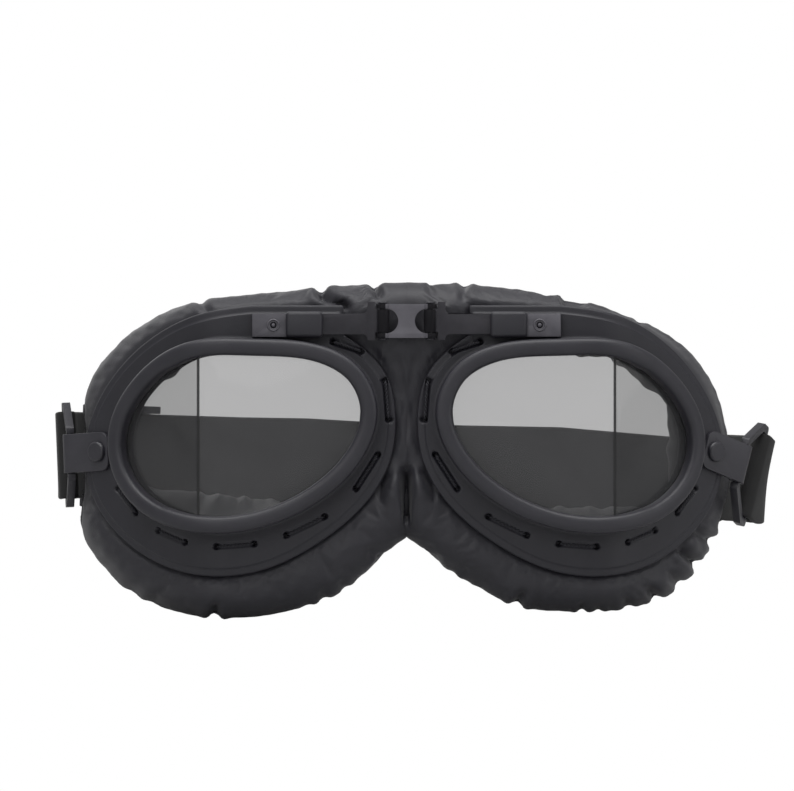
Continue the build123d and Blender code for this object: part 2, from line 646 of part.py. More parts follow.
def all_parts():
    """Every node's solid or solids."""
    parts = {
        "bridge_link": bridge_link(),
        "mask_cover": mask_cover(),
        "face_lining": face_lining(),
        "nose_stitching": nose_stitching(),
        "head_strap": head_strap(),
        "strap_stitching": strap_stitching(),
        "strap_slider": strap_slider(),
    }
    eye = {
        "frame": frame(),
        "lens_rim": lens_rim(),
        "lens_gasket": lens_gasket(),
        "lacing_thread": lacing_thread(),
        "bridge_arm": bridge_arm(),
        "arm_rivet": arm_rivet(),
        "hinge_pin": hinge_pin(),
        "temple_rivet": temple_rivet(),
        "foam_pad": foam_pad(),
        **lenses(),
    }
    for name, side in SIDES.items():
        for piece, shape in eye.items():
            if isinstance(shape, list):
                parts[f"{piece}_{name}"] = [on_side(one, side) for one in shape]
            else:
                parts[f"{piece}_{name}"] = on_side(shape, side)
        parts[f"temple_tab_{name}"] = on_side(droop(name) * temple_tab(), side)
        parts[f"strap_loop_{name}"] = on_side(strap_loop(name), side)
    return parts


def save(name, shape):
    """Write one node, as a group when it holds several solids."""
    pieces = shape if isinstance(shape, list) else [shape]
    solids = [solid for piece in pieces for solid in piece.solids()]
    part = solids[0] if len(solids) == 1 else Compound(children=solids)
    export_step(part, f"parts/{name}.step")


os.makedirs("parts", exist_ok=True)
for node, shape in all_parts().items():
    save(node, shape)
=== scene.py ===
"""Looks of the riding goggles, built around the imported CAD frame.

Lengths are millimetres until a mesh is made. Right and left are the wearer's: x is below zero on the right.
"""

import json
import math

import bmesh
import bpy
import numpy as np
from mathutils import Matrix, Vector, noise


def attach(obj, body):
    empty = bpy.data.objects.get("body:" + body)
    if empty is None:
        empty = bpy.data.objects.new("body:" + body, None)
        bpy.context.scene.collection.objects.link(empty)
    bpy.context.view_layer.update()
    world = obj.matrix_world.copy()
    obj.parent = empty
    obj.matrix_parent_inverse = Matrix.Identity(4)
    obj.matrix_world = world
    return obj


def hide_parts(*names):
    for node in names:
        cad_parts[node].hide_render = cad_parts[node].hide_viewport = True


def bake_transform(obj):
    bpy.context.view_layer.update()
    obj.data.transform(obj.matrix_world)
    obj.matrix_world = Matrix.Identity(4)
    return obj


MM = 0.001
SIDES = {"right": -1, "left": 1}

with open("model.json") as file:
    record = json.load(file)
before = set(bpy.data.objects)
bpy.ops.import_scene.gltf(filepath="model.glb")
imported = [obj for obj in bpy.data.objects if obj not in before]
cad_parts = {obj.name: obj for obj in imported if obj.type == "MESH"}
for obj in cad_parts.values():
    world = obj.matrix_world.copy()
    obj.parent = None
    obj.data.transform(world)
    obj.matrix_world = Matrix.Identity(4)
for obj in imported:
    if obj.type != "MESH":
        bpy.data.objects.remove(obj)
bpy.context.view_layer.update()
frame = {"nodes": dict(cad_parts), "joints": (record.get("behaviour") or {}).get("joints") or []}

# ---- the bent surface of an eye unit: flat, then round a vertical line, then straight back ----
BEND = math.radians(38.0)
FLANGE_LIFT = 19.4
BEND_R = 24.0  # on the flange's front
ARC_X = 50.62  # where the bend starts
ARC_Y = BEND_R - FLANGE_LIFT  # centre of the bend
RIM_HEIGHT = 6.6  # height above the flange at which the rim is widest


def u_of_x(x, height):
    """Distance along the bent surface for a point seen from the front at x, this far above the flange."""
    x = np.asarray(x, float)
    radius = BEND_R + height
    arc_u = BEND_R * np.arcsin(np.clip((x - ARC_X) / radius, -1, 1))
    arc_end = ARC_X + radius * math.sin(BEND)
    temple_u = BEND_R * BEND + (x - arc_end) / math.cos(BEND)
    return np.where(x < ARC_X, x, ARC_X + np.where(x < arc_end, arc_u, temple_u))


def bent(u, z, height):
    """World place, in millimetres, of a point u along the surface, at z, and this far above the flange."""
    u, z, height = np.broadcast_arrays(*(np.asarray(v, float) for v in (u, z, height)))
    turn = np.clip((u - ARC_X) / BEND_R, 0, BEND)
    past = np.maximum(u - ARC_X - BEND_R * BEND, 0)
    before = np.minimum(u - ARC_X, 0)
    x = ARC_X + before + (BEND_R + height) * np.sin(turn) + past * math.cos(BEND)
    y = ARC_Y - (BEND_R + height) * np.cos(turn) + past * math.sin(BEND)
    return np.stack([x, y, z], -1)


# ---------------------------------------------------------------- curves
def unit(vectors):
    """Vectors scaled to length one."""
    return vectors / np.maximum(np.linalg.norm(vectors, axis=-1), 1e-9)[..., None]


def distances(line):
    """How far along a line each of its points is."""
    return np.concatenate([[0], np.cumsum(np.linalg.norm(np.diff(line, axis=0), axis=1))])


def spline(points, samples, closed=True):
    """A smooth curve through points, sampled evenly by length."""
    p = np.asarray(points, float)
    if closed:
        p = np.vstack([p, p[:1]])
    t = distances(p)
    h = np.diff(t)
    n = len(p)
    a = np.zeros((n, n))
    b = np.zeros_like(p)
    for i in range(1, n - 1):
        a[i, i - 1], a[i, i], a[i, i + 1] = h[i - 1], 2 * (h[i - 1] + h[i]), h[i]
        b[i] = 6 * ((p[i + 1] - p[i]) / h[i] - (p[i] - p[i - 1]) / h[i - 1])
    if closed:
        a[0, 0], a[0, -1] = 1, -1
        a[-1, 0], a[-1, 1], a[-1, -2] = 2 * (h[0] + h[-1]), h[0], h[-1]
        b[-1] = 6 * ((p[1] - p[0]) / h[0] - (p[-1] - p[-2]) / h[-1])
    else:
        a[0, 0] = a[-1, -1] = 1
    m = np.linalg.solve(a, b)

    def at(s):
        i = np.clip(np.searchsorted(t, s, side="right") - 1, 0, n - 2)
        d, e, w = (s - t[i])[:, None], (t[i + 1] - s)[:, None], h[i][:, None]
        return (
            m[i] * e**3 / (6 * w) + m[i + 1] * d**3 / (6 * w)
            + (p[i] / w - m[i] * w / 6) * e + (p[i + 1] / w - m[i + 1] * w / 6) * d
        )

    fine = at(np.linspace(0, t[-1], samples * 8))
    out = resampled(fine, samples + 1 if closed else samples)
    return out[:-1] if closed else out


def resampled(line, samples):
    """Points evenly spaced by length along a finely drawn line."""
    run = distances(line)
    want = np.linspace(0, run[-1], samples)
    return np.stack([np.interp(want, run, line[:, k]) for k in range(line.shape[1])], -1)


def closed_normals(curve):
    """Outward directions of a closed curve that runs clockwise."""
    way = unit(np.roll(curve, -1, 0) - np.roll(curve, 1, 0))
    return np.stack([-way[:, 1], way[:, 0]], -1)


def smoothstep(t):
    t = np.clip(t, 0, 1)
    return t * t * (3 - 2 * t)


# ---------------------------------------------------------------- meshes
def new_object(name, data, material=None):
    obj = bpy.data.objects.new(name, data)
    bpy.context.scene.collection.objects.link(obj)
    if material:
        data.materials.append(material)
    return obj


def mesh_object(name, points, faces, material, uv=None):
    """A smooth object from points in millimetres."""
    mesh = bpy.data.meshes.new(name)
    mesh.from_pydata((np.asarray(points, float) * MM).tolist(), [], faces)
    if uv is not None:
        layer = mesh.uv_layers.new(name="UVMap")
        loops = np.zeros(len(mesh.loops), np.int32)
        mesh.loops.foreach_get("vertex_index", loops)
        layer.data.foreach_set("uv", np.asarray(uv, np.float32)[loops].ravel())
    mesh.polygons.foreach_set("use_smooth", [True] * len(mesh.polygons))
    mesh.update()
    return new_object(name, mesh, material)


def grid_faces(rows, columns, close_rows=True, flip=False, start=0):
    """Quads of a grid of points stored row by row, closed along its rows."""
    faces = []
    for i in range(rows if close_rows else rows - 1):
        for j in range(columns):
            a, b = i * columns + j, i * columns + (j + 1) % columns
            c, d = (i + 1) % rows * columns + (j + 1) % columns, (i + 1) % rows * columns + j
            quad = (a, b, c, d) if not flip else (d, c, b, a)
            faces.append(tuple(start + q for q in quad))
    return faces


def grid_object(name, grid, side, material, close_rows=True, flip=False):
    """A smooth object from a grid of points in millimetres, mirrored to its own side."""
    faces = grid_faces(*grid.shape[:2], close_rows, flip)
    return mesh_object(name, grid.reshape(-1, 3) * np.array([side, 1, 1]), faces, material)


def tube(path, radius, around):
    """Points and faces of a round bar along a path, with closed ends."""
    path = np.asarray(path, float)
    way = unit(np.gradient(path, axis=0))
    side = np.cross(way[0], (0, 0, 1.0))
    if np.linalg.norm(side) < 0.1:
        side = np.cross(way[0], (1.0, 0, 0))
    angle = np.linspace(0, 2 * math.pi, around, endpoint=False)[:, None]
    rings = []
    for place, along in zip(path, way):
        side = unit(side - along * (side @ along))
        rings.append(place + radius * (np.cos(angle) * side + np.sin(angle) * np.cross(along, side)))
    last = (len(path) - 1) * around
    ends = [tuple(range(around)), tuple(range(last, last + around))[::-1]]
    return np.concatenate(rings), grid_faces(len(path), around, close_rows=False) + ends


def joined(parts):
    """Points and faces of several pieces as one mesh."""
    points, faces, count = [], [], 0
    for p, f in parts:
        points.append(p)
        faces += [tuple(i + count for i in face) for face in f]
        count += len(p)
    return np.vstack(points), faces


def fix_normals(obj):
    """Turn every face of a closed mesh outward."""
    bm = bmesh.new()
    bm.from_mesh(obj.data)
    bmesh.ops.recalc_face_normals(bm, faces=bm.faces)
    bm.to_mesh(obj.data)
    bm.free()


def stands_for(obj, slot, *nodes, rides=None):
    """Hide the CAD nodes an object stands in for and, if it moves whole, attach it to its body. The slot is not
    used.
    """
    if rides:
        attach(obj, rides)
    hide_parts(*nodes)


# ---------------------------------------------------------------- materials
class Nodes:
    """Short way to wire one material's nodes."""

    def __init__(self, name):
        self.material = bpy.data.materials.new(name)
        self.material.use_nodes = True
        self.tree = self.material.node_tree
        self.surface = self.tree.nodes["Principled BSDF"]

    def add(self, kind, **values):
        node = self.tree.nodes.new(kind)
        for key, value in values.items():
            if key in node.inputs:
                node.inputs[key].default_value = value
            else:
                setattr(node, key, value)
        return node

    def link(self, source, target):
        self.tree.links.new(source, target)

    def feed(self, source, name):
        """Drive one of the surface's inputs."""
        self.link(source, self.surface.inputs[name])

    def fix(self, **values):
        """Give some of the surface's inputs a fixed value; a double underscore stands for a space."""
        for name, value in values.items():
            self.surface.inputs[name.replace("__", " ")].default_value = value

    def place(self, kind="Object"):
        return self.add("ShaderNodeTexCoord").outputs[kind]

    def axes(self, source):
        node = self.add("ShaderNodeSeparateXYZ")
        self.link(source, node.inputs["Vector"])
        return node.outputs

    def maths(self, operation, *terms):
        """Result of a sum on sockets and numbers."""
        node = self.add("ShaderNodeMath", operation=operation)
        for term, socket in zip(terms, node.inputs):
            if isinstance(term, (int, float)):
                socket.default_value = term
            else:
                self.link(term, socket)
        return node.outputs[0]

    def ramp(self, source, *stops, stepped=False):
        """Colour for each value of the source, from (place, colour) stops."""
        node = self.add("ShaderNodeValToRGB")
        elements = node.color_ramp.elements
        while len(elements) < len(stops):
            elements.new(0.5)
        for element, (place, colour) in zip(elements, stops):
            element.position = place
            element.color = (*colour, 1)
        if stepped:
            node.color_ramp.interpolation = "CONSTANT"
        self.link(source, node.inputs["Fac"])
        return node.outputs["Color"]

    def noise(self, place, scale, detail=3.0, roughness=0.5):
        node = self.add("ShaderNodeTexNoise", Scale=scale, Detail=detail, Roughness=roughness)
        self.link(place, node.inputs["Vector"])
        return node.outputs["Fac"]

    def spread(self, source, **limits):
        """A value moved to another range; limits name the range's ends, with _ for a space."""
        node = self.add("ShaderNodeMapRange")
        for name, value in limits.items():
            node.inputs[name.replace("_", " ")].default_value = value
        self.link(source, node.inputs["Value"])
        return node.outputs["Result"]

    def roughen(self, source, low, high):
        self.feed(self.spread(source, To_Min=low, To_Max=high), "Roughness")

    def relief(self, *layers):
        """Bump the surface by each (source, strength, depth in metres) in turn."""
        normal = None
        for height, strength, depth in layers:
            node = self.add("ShaderNodeBump", Strength=strength, Distance=depth)
            self.link(height, node.inputs["Height"])
            if normal:
                self.link(normal, node.inputs["Normal"])
            normal = node.outputs["Normal"]
        self.feed(normal, "Normal")


def grey(value):
    """A near-neutral black or grey that leans a little to violet."""
    return (value, value * 0.96, value * 1.08 + 0.004)


def neutral(value):
    return (value, value, value * 1.04)


def moulded(name, base, rough, grain=0.25):
    """Matt moulded black with a fine sparkle-free grain and faint handling marks."""
    n = Nodes(name)
    place = n.place()
    broad = n.noise(place, 60, 4.0, 0.6)
    n.feed(n.ramp(broad, (0.3, grey(base * 0.85)), (0.72, grey(base * 1.2))), "Base Color")
    n.roughen(broad, rough - 0.06, rough + 0.07)
    n.relief((n.noise(place, 2600, 2.0), grain, 0.00012))
    return n.material


LIGHT_BAND_SPAN = 0.12  # metres from the middle over which a part's bands of painted shade and painted highlight are spread
PAINT_SHINE = 0.55


def painted(name, base, rough, light_bands=((0.0, 1.0),)):
    """Matt black paint with a fine stipple; light bands paint shade and highlight into its brightness and shine
    at each distance off the middle.
    """
    n = Nodes(name)
    place = n.place()
    cloud = n.noise(place, 130, 4.0, 0.6)
    colour = n.ramp(cloud, (0.32, grey(base * 0.82)), (0.7, grey(base * 1.18)))
    # bands of painted shade and painted highlight: brightness steps by distance off the middle
    share = n.maths("DIVIDE", n.maths("ABSOLUTE", n.axes(place)["X"]), LIGHT_BAND_SPAN)
    painted_light = n.ramp(share, *((start / LIGHT_BAND_SPAN, (level,) * 3) for start, level in light_bands), stepped=True)
    mix = n.add("ShaderNodeMixRGB", blend_type="MULTIPLY", Fac=1.0)
    n.link(colour, mix.inputs["Color1"])
    n.link(painted_light, mix.inputs["Color2"])
    n.feed(mix.outputs["Color"], "Base Color")
    n.roughen(cloud, rough - 0.05, rough + 0.08)
    n.relief((n.noise(place, 3400, 2.0), 0.25, 0.0001))
    # the shine is dimmed along with the painted shade
    n.feed(n.maths("MULTIPLY", painted_light, PAINT_SHINE), "Specular IOR Level")
    return n.material


def leather(name):
    """Soft black leather-look cover: pebbled grain, broad sheen changes."""
    n = Nodes(name)
    place = n.place()
    pebble = n.add("ShaderNodeTexVoronoi", Scale=1500.0, feature="DISTANCE_TO_EDGE")
    n.link(place, pebble.inputs["Vector"])
    broad = n.noise(place, 45, 4.0, 0.6)
    n.feed(n.ramp(broad, (0.28, grey(0.012)), (0.75, grey(0.019))), "Base Color")
    n.roughen(broad, 0.46, 0.60)
    n.relief((pebble.outputs["Distance"], 0.30, 0.00018), (n.noise(place, 2400, 3.0, 0.6), 0.18, 0.00012))
    n.fix(Sheen__Weight=0.12)
    return n.material


def pile(name):
    """Short black pile of the face lining."""
    n = Nodes(name)
    place = n.place()
    fibres = n.noise(place, 1900, 4.0, 0.7)
    n.feed(n.ramp(fibres, (0.3, grey(0.010)), (0.75, grey(0.035))), "Base Color")
    n.fix(Roughness=0.95, Sheen__Weight=0.5)
    n.relief((fibres, 0.7, 0.0004), (n.noise(place, 90, 3.0), 0.3, 0.0006))
    return n.material


WEAVE_PITCH = (0.66, 0.44)  # along and across the strap
RIB_SHARE = 0.8
WEAVE_HEIGHT = 1.6


def webbing(name):
    """Woven elastic: fine ribs along the strap crossed by picks, in the strap's own lengthwise coordinates."""
    n = Nodes(name)
    uv = n.axes(n.place("UV"))
    along, across = (
        n.maths("SINE", n.maths("MULTIPLY", uv[axis], 2 * math.pi / pitch))
        for axis, pitch in zip("XY", WEAVE_PITCH)
    )
    weave = n.maths("MULTIPLY_ADD", across, RIB_SHARE, n.maths("MULTIPLY", along, across))
    height = n.spread(weave, From_Min=-WEAVE_HEIGHT, From_Max=WEAVE_HEIGHT)
    n.feed(n.ramp(height, (0.1, neutral(0.0058)), (0.9, neutral(0.0074))), "Base Color")
    n.fix(Roughness=0.8, Sheen__Weight=0.04)
    n.relief((height, 0.08, 0.0001))
    return n.material


def thread_material(name):
    n = Nodes(name)
    fibres = n.noise(n.place(), 2800, 3.0, 0.7)
    n.feed(n.ramp(fibres, (0.3, grey(0.005)), (0.7, grey(0.014))), "Base Color")
    n.fix(Roughness=0.7)
    n.relief((fibres, 0.4, 0.0001))
    return n.material


def tinted(name, clear, base):
    """Smoke-tinted lens: lets part of the light through and keeps a clear polish with faint handling smears."""
    n = Nodes(name)
    n.roughen(n.noise(n.place(), 35, 5.0, 0.7), 0.04, 0.10)
    n.fix(Base__Color=(*neutral(base), 1), Alpha=1 - clear, IOR=1.45)
    return n.material


FRAME_MAT = moulded("moulded_black", 0.015, 0.50)
RIM_MAT = moulded("rim_black", 0.019, 0.46, 0.2)
GASKET_MAT = moulded("gasket_black", 0.009, 0.75)
LOOP_MAT = moulded("loop_black", 0.017, 0.42)
HARDWARE_MAT = painted("hardware_black", 0.026, 0.42)
# Arm: painted shade on the hinge barrel by the link, and a painted highlight on the tail plate, which catches
# more light than the rest of the arm.
ARM_MAT = painted("arm_black", 0.076, 0.42, ((0.0, 0.15), (0.0084, 0.42), (0.0346, 1.0)))
# Link: a light base as painted highlight for the front light it reflects, with painted shade on its hinge
# barrels.
LINK_MAT = painted("link_black", 0.088, 0.40, ((0.0, 1.0), (0.0059, 0.14)))
EYELET_MAT = painted("eyelet_black", 0.085, 0.34)
PIN_MAT = painted("pin_black", 0.015, 0.38)
RIVET_MAT = painted("rivet_black", 0.020, 0.38)
LEATHER_MAT = leather("cover_leather")
LINING_MAT = pile("lining_pile")
STRAP_MAT = webbing("strap_webbing")
THREAD_MAT = thread_material("black_thread")
FRONT_LENS_MAT = tinted("smoke_front", 0.63, 0.093)
SIDE_LENS_MAT = tinted("smoke_side", 0.54, 0.062)
JOINT_MAT = tinted("lens_joint_dark", 0.15, 0.03)


# ---------------------------------------------------------------- outlines of an eye unit, seen from the front
RIM_POINTS = [
    (8.4, 8), (14, 20.6), (27, 27.1), (45, 28.5), (63, 27.5), (78, 17.5), (86, 1.0),
    (83.4, -13.5), (74, -23.5), (60, -27.8), (42, -26.3), (24, -17.8), (12.6, -6),
]
FLANGE_POINTS = [
    (45, 38.2), (62, 35.2), (77.5, 26.6), (88.5, 14.0), (94.4, -3.0), (91.5, -19), (83, -30),
    (71, -37.6), (55, -40.6), (40, -38.2), (27, -31.8), (12.5, -20), (5.2, -8.5), (3.0, 4.5),
    (6.2, 18.5), (13.5, 26.4), (18.3, 29.6),
]
RIM_SAMPLES = 640


def along_surface(points, height):
    points = np.asarray(points, float)
    return np.stack([u_of_x(points[:, 0], height), points[:, 1]], -1)


RIM = spline(along_surface(spline(RIM_POINTS, 200), RIM_HEIGHT), RIM_SAMPLES)
RIM_OUT = closed_normals(RIM)
TEMPLE_TRIM = {"right": 0.0, "left": 1.3}  # how much narrower the flange is at the temple


def flange_view(side_name, samples):
    """Flange outline seen from the front."""
    sweep = spline(FLANGE_POINTS, samples, closed=False)
    sweep[:, 0] -= TEMPLE_TRIM[side_name] * smoothstep((sweep[:, 0] - 60) / 34)
    return np.vstack([sweep, [[18.3, 38.2]]])


def filled_in(corners, step=0.4):
    """A closed line with extra points so that none are further apart than the step."""
    out = []
    for a, b in zip(corners, np.roll(corners, -1, 0)):
        count = max(int(np.linalg.norm(b - a) / step), 1)
        out.extend(a + (b - a) * k / count for k in range(count))
    return np.array(out)


def reach_to(outline):
    """How far each rim point is, straight outward, from a closed outline."""
    starts, ends = outline, np.roll(outline, -1, 0)
    out = np.full(RIM_SAMPLES, 1e9)
    for i, (p, d) in enumerate(zip(RIM, RIM_OUT)):
        e = ends - starts
        cross = d[0] * e[:, 1] - d[1] * e[:, 0]
        cross = np.where(abs(cross) < 1e-12, 1e-12, cross)
        q = starts - p
        far = (q[:, 0] * e[:, 1] - q[:, 1] * e[:, 0]) / cross
        share = (q[:, 0] * d[1] - q[:, 1] * d[0]) / cross
        hit = (share >= 0) & (share <= 1) & (far > 0.5)
        if hit.any():
            out[i] = far[hit].min()
    return out


FLANGE_REACH = {name: reach_to(along_surface(filled_in(flange_view(name, 400)), 0)) for name in SIDES}

# ---- lacing, at the places of the CAD stitches: the two ends of each stitch seen from the front ----
STITCH_ENDS = [
    ((21.4, 27.5), (13.1, 24.8)), ((6.2, 16.4), (5.3, 5.0)), ((8.4, -5.2), (14.7, -15.0)),
    ((23.8, -23.1), (34.9, -28.5)), ((44.2, -31.0), (55.2, -31.8)), ((64.4, -30.6), (72.4, -27.2)),
    ((79.0, -22.2), (84.3, -15.2)),
]
STITCHES = [along_surface(np.array(ends), 0) for ends in STITCH_ENDS]
LACING_TWISTS = 5  # of the thread in each stitch
SUNK_BELOW = -20.0  # stitches lower than this are pulled tight into shallow grooves


def lacing_depth(u, z):
    """How deep the lacing grooves and holes cut into the flange at each point."""
    p = np.stack([u, z], -1)
    depth = np.zeros(p.shape[:-1])
    for a, b in STITCHES:
        run = b - a
        share = np.clip(((p - a) @ run) / (run @ run), 0, 1)
        beside = np.linalg.norm(p - (a + share[..., None] * run), axis=-1)
        groove = 0.34 if (a + b)[1] / 2 < SUNK_BELOW else 0.62
        depth = np.maximum(depth, groove * smoothstep((1.2 - beside) / 0.85))
        for end in (a, b):
            near = np.linalg.norm(p - end, axis=-1)
            depth = np.maximum(depth, 1.85 * smoothstep((1.02 - near) / 0.4))
    return depth


# ---------------------------------------------------------------- eye frames and rims
def round_rim(name, side, section, material):
    """A closed body all round the lens, from its section: (offset from the rim's edge, height) pairs."""
    rings = []
    for offset, height in section:
        at = RIM + RIM_OUT * np.broadcast_to(offset, RIM_SAMPLES)[:, None]
        on_flange = -0.5 < height < 0.6
        depth = lacing_depth(at[:, 0], at[:, 1]) if on_flange else 0
        rings.append(bent(at[:, 0], at[:, 1], height - depth))
    obj = grid_object(name, np.stack(rings), side, material, flip=side < 0)
    fix_normals(obj)
    return obj


def frame_section(edge):
    """Moulded frame: shelf, wall round the lens, flange with a step near its edge, rolled edge and back."""
    section = [(-5.0, 2.6), (-2.9, 2.6), (-2.8, 2.7), (-2.8, 5.1), (-2.6, 5.3), (-0.9, 5.3), (-0.65, 5.15)]
    section += [(-0.6, height) for height in (4.6, 3.6, 2.6, 1.9)]
    section += [(0.7 - 1.3 * math.cos(a), 1.3 - 1.3 * math.sin(a)) for a in np.radians(np.linspace(10, 90, 6))]
    section += [(0.7 + (edge - 3.3) * share, 0.0) for share in np.linspace(0.03, 1, 38)]
    step = ((2.45, -0.04), (2.3, -0.34), (1.6, -0.38), (0.75, -0.42))
    section += [(edge - inset, height) for inset, height in step]
    section += [(edge - 0.6 + 0.6 * math.sin(a), -1.02 + 0.6 * math.cos(a)) for a in np.radians((20, 50, 80))]
    section += [(edge, -1.5), (edge - 0.25, -1.95), (edge - 1.0, -2.0), (np.minimum(edge - 1.2, 1.0), -2.0)]
    return section + [(-2.0, -2.0), (-2.3, -1.7)]


def bead_section():
    """Half-round bead with a straight inner wall."""
    bead = [
        (-2.5 + 2.5 * math.copysign(abs(math.cos(a)) ** 0.74, math.cos(a)), 7.0 + 2.1 * abs(math.sin(a)) ** 0.72)
        for a in np.radians(np.linspace(180, 0, 19))
    ]
    return [(-4.9, 5.25), (-5.0, 5.6), (-5.0, 6.6), *bead, (0.0, 6.2), (-0.05, 5.8), (-0.3, 5.5), (-0.7, 5.4)]


def rounded_box(name, x, y, z, radius, material):
    """A block with rounded edges, from its ranges in millimetres."""
    mesh = bpy.data.meshes.new(name)
    bm = bmesh.new()
    bmesh.ops.create_cube(bm, size=1)
    for vertex in bm.verts:
        vertex.co = [MM * ((low + high) / 2 + (high - low) * c) for (low, high), c in zip((x, y, z), vertex.co)]
    bmesh.ops.bevel(bm, geom=bm.edges[:], offset=radius * MM, segments=4, profile=0.5, affect="EDGES")
    bm.to_mesh(mesh)
    bm.free()
    mesh.polygons.foreach_set("use_smooth", [True] * len(mesh.polygons))
    return new_object(name, mesh, material)


def lacing(side_name):
    """Two-ply thread lying in each groove and turning down into its holes."""
    parts = []
    for a, b in STITCHES:
        steps = np.linspace(0, 1, 46)
        line = a + (b - a) * steps[:, None]
        lie = -0.58 if (a + b)[1] / 2 < SUNK_BELOW else -0.24
        dive = lie - 1.3 * smoothstep((abs(steps - 0.5) - 0.43) / 0.06)
        centre = bent(line[:, 0], line[:, 1], dive)
        up = bent(line[:, 0], line[:, 1], dive + 1) - centre
        cross = np.cross(unit(np.gradient(centre, axis=0)), up)
        for ply in (0, math.pi):
            turn = (steps * LACING_TWISTS * 2 * math.pi + ply)[:, None]
            strand = centre + 0.24 * (np.cos(turn) * cross + np.sin(turn) * up)
            parts.append(tube(strand, 0.33, 8))
    points, faces = joined(parts)
    obj = mesh_object(f"lacing_{side_name}", points * np.array([SIDES[side_name], 1, 1]), faces, THREAD_MAT)
    fix_normals(obj)
    return obj


for name, sign in SIDES.items():
    eye = f"{name}_eye"
    body = round_rim(f"frame_body_{name}", sign, frame_section(FLANGE_REACH[name]), FRAME_MAT)
    stands_for(body, "moulded_frame", f"frame_{name}", rides=eye)
    rim = round_rim(f"lens_rim_bead_{name}", sign, bead_section(), RIM_MAT)
    stands_for(rim, "rim", f"lens_rim_{name}", rides=eye)
    stands_for(lacing(name), "thread", f"lacing_thread_{name}", rides=eye)

# ---------------------------------------------------------------- padding
BROW_Z, NOTCH_Z = 44.9, -28.7
PAD_POINTS = {
    "right": [
        (0, BROW_Z), (10, 44.2), (31, 41.9), (54, 39.7), (66, 37.3), (77.3, 31.6), (85.3, 25.0), (92, 15.5),
        (96.0, 3), (96.6, -11), (95.1, -27), (89.3, -36), (80.2, -44.8), (68, -50.2), (54, -52.2), (42.5, -51.6),
        (31, -49.2), (19.3, -44.4), (8, -35.2), (0, NOTCH_Z),
    ],
    "left": [
        (0, BROW_Z), (10, 44.4), (27, 42.6), (50.3, 38.9), (62, 35.3), (73.5, 30.3), (81.5, 25.0), (88.3, 16.5),
        (92.2, 6), (93.9, -5), (93.6, -15), (90.8, -25), (87.2, -32.5), (81.8, -40), (75.5, -45.6), (66, -49),
        (54, -50.2), (42, -50.2), (33, -48.6), (24, -44.8), (13, -38.2), (0, NOTCH_Z),
    ],
}
SECTION_CENTRE = np.array([46.0, 0.0])  # the sections of a half fan out from here
FRONT_LIFT = 17.0  # of the leather under the flange
EDGE_LIFT, REAR_LIFT = (10.2, 7.0), 0.8  # of the leather at the front and back of the edge, and on the face side
FRONT_IN, REAR_IN = 4.9, 4.4  # how far the opening lies inside the rim's edge, in front and behind
# Straight limits of the opening's rear edge: the way each faces, and its distance from the centre.
REAR_LIMITS = {
    "right": [((0.60, 0.80), 27.7), ((0.10, -0.995), 17.7)],
    "left": [((0.62, 0.785), 26.4), ((0.085, 0.996), 23.9), ((1.0, 0.0), 30.6), ((0.0, -1.0), 20.6)],
}
COLUMNS = 440
EDGE_SHARE = 0.80  # of the columns that end on the padding's edge; the others end midway between the halves
ROWS = {"front": 46, "edge": 16, "wall": 6, "under": 18, "back": 8, "tunnel": 11}
FRONT, WALL, BACK, TUNNEL = 0, 1, 3, 5  # kinds of row; rows of the wall and tunnel add their share of the way
VIEW_RIM = spline(RIM_POINTS, 720)
VIEW_RIM_OUT = closed_normals(VIEW_RIM)
VIEW_FLANGES = {name: filled_in(flange_view(name, 500)) for name in SIDES}


def pad_outline(side_name, samples):
    """Edge of one half of the padding, from the middle of the brow round to the notch over the nose."""
    points = PAD_POINTS[side_name]
    both = [(-x, z) for x, z in points[:3][::-1]] + points[1:]
    curve = spline(both, 3000, closed=False)
    curve = curve[np.argmin(np.hypot(curve[:, 0], curve[:, 1] - BROW_Z)):]
    curve[0, 0] = 0
    return resampled(curve, samples)


EDGE_LINES = {name: pad_outline(name, 900) for name in SIDES}


def nearest(points, line):
    """Distance from each point to a finely sampled line, and which sample is nearest."""
    flat = points.reshape(-1, 2)
    far = np.empty(len(flat))
    which = np.empty(len(flat), int)
    for start in range(0, len(flat), 4000):
        part = slice(start, start + 4000)
        gaps = ((flat[part, None] - line[None]) ** 2).sum(-1)
        which[part] = gaps.argmin(1)
        far[part] = np.sqrt(gaps.min(1))
    return far.reshape(points.shape[:-1]), which.reshape(points.shape[:-1])


def radius_at(outline, angles):
    """How far a closed outline is from the section centre in each direction."""
    way = outline - SECTION_CENTRE
    turn = np.arctan2(way[:, 1], way[:, 0])
    order = np.argsort(turn)
    turn, reach = turn[order], np.linalg.norm(way, axis=1)[order]
    turn = np.concatenate([turn - 2 * math.pi, turn, turn + 2 * math.pi])
    return np.interp(angles, turn, np.tile(reach, 3))


def section_lines(side_name, columns):
    """The sections of one half: where each ends, its angle, and whether it ends midway between the halves."""
    edge_count = int(columns * EDGE_SHARE)
    edge = pad_outline(side_name, edge_count + 1)[:-1]
    middle = np.linspace((0, NOTCH_Z), (0, BROW_Z), columns - edge_count + 1)[:-1]
    outer = np.vstack([edge, middle])
    way = outer - SECTION_CENTRE
    return outer, np.arctan2(way[:, 1], way[:, 0]), np.arange(columns) >= edge_count


def opening(inset, angles):
    """Reach of the opening behind the lens, eased toward the temple, where the rim turns outward."""
    ease = 2.6 * np.clip(np.cos(angles), 0, 1) ** 1.5
    return radius_at(VIEW_RIM - VIEW_RIM_OUT * inset, angles) + ease


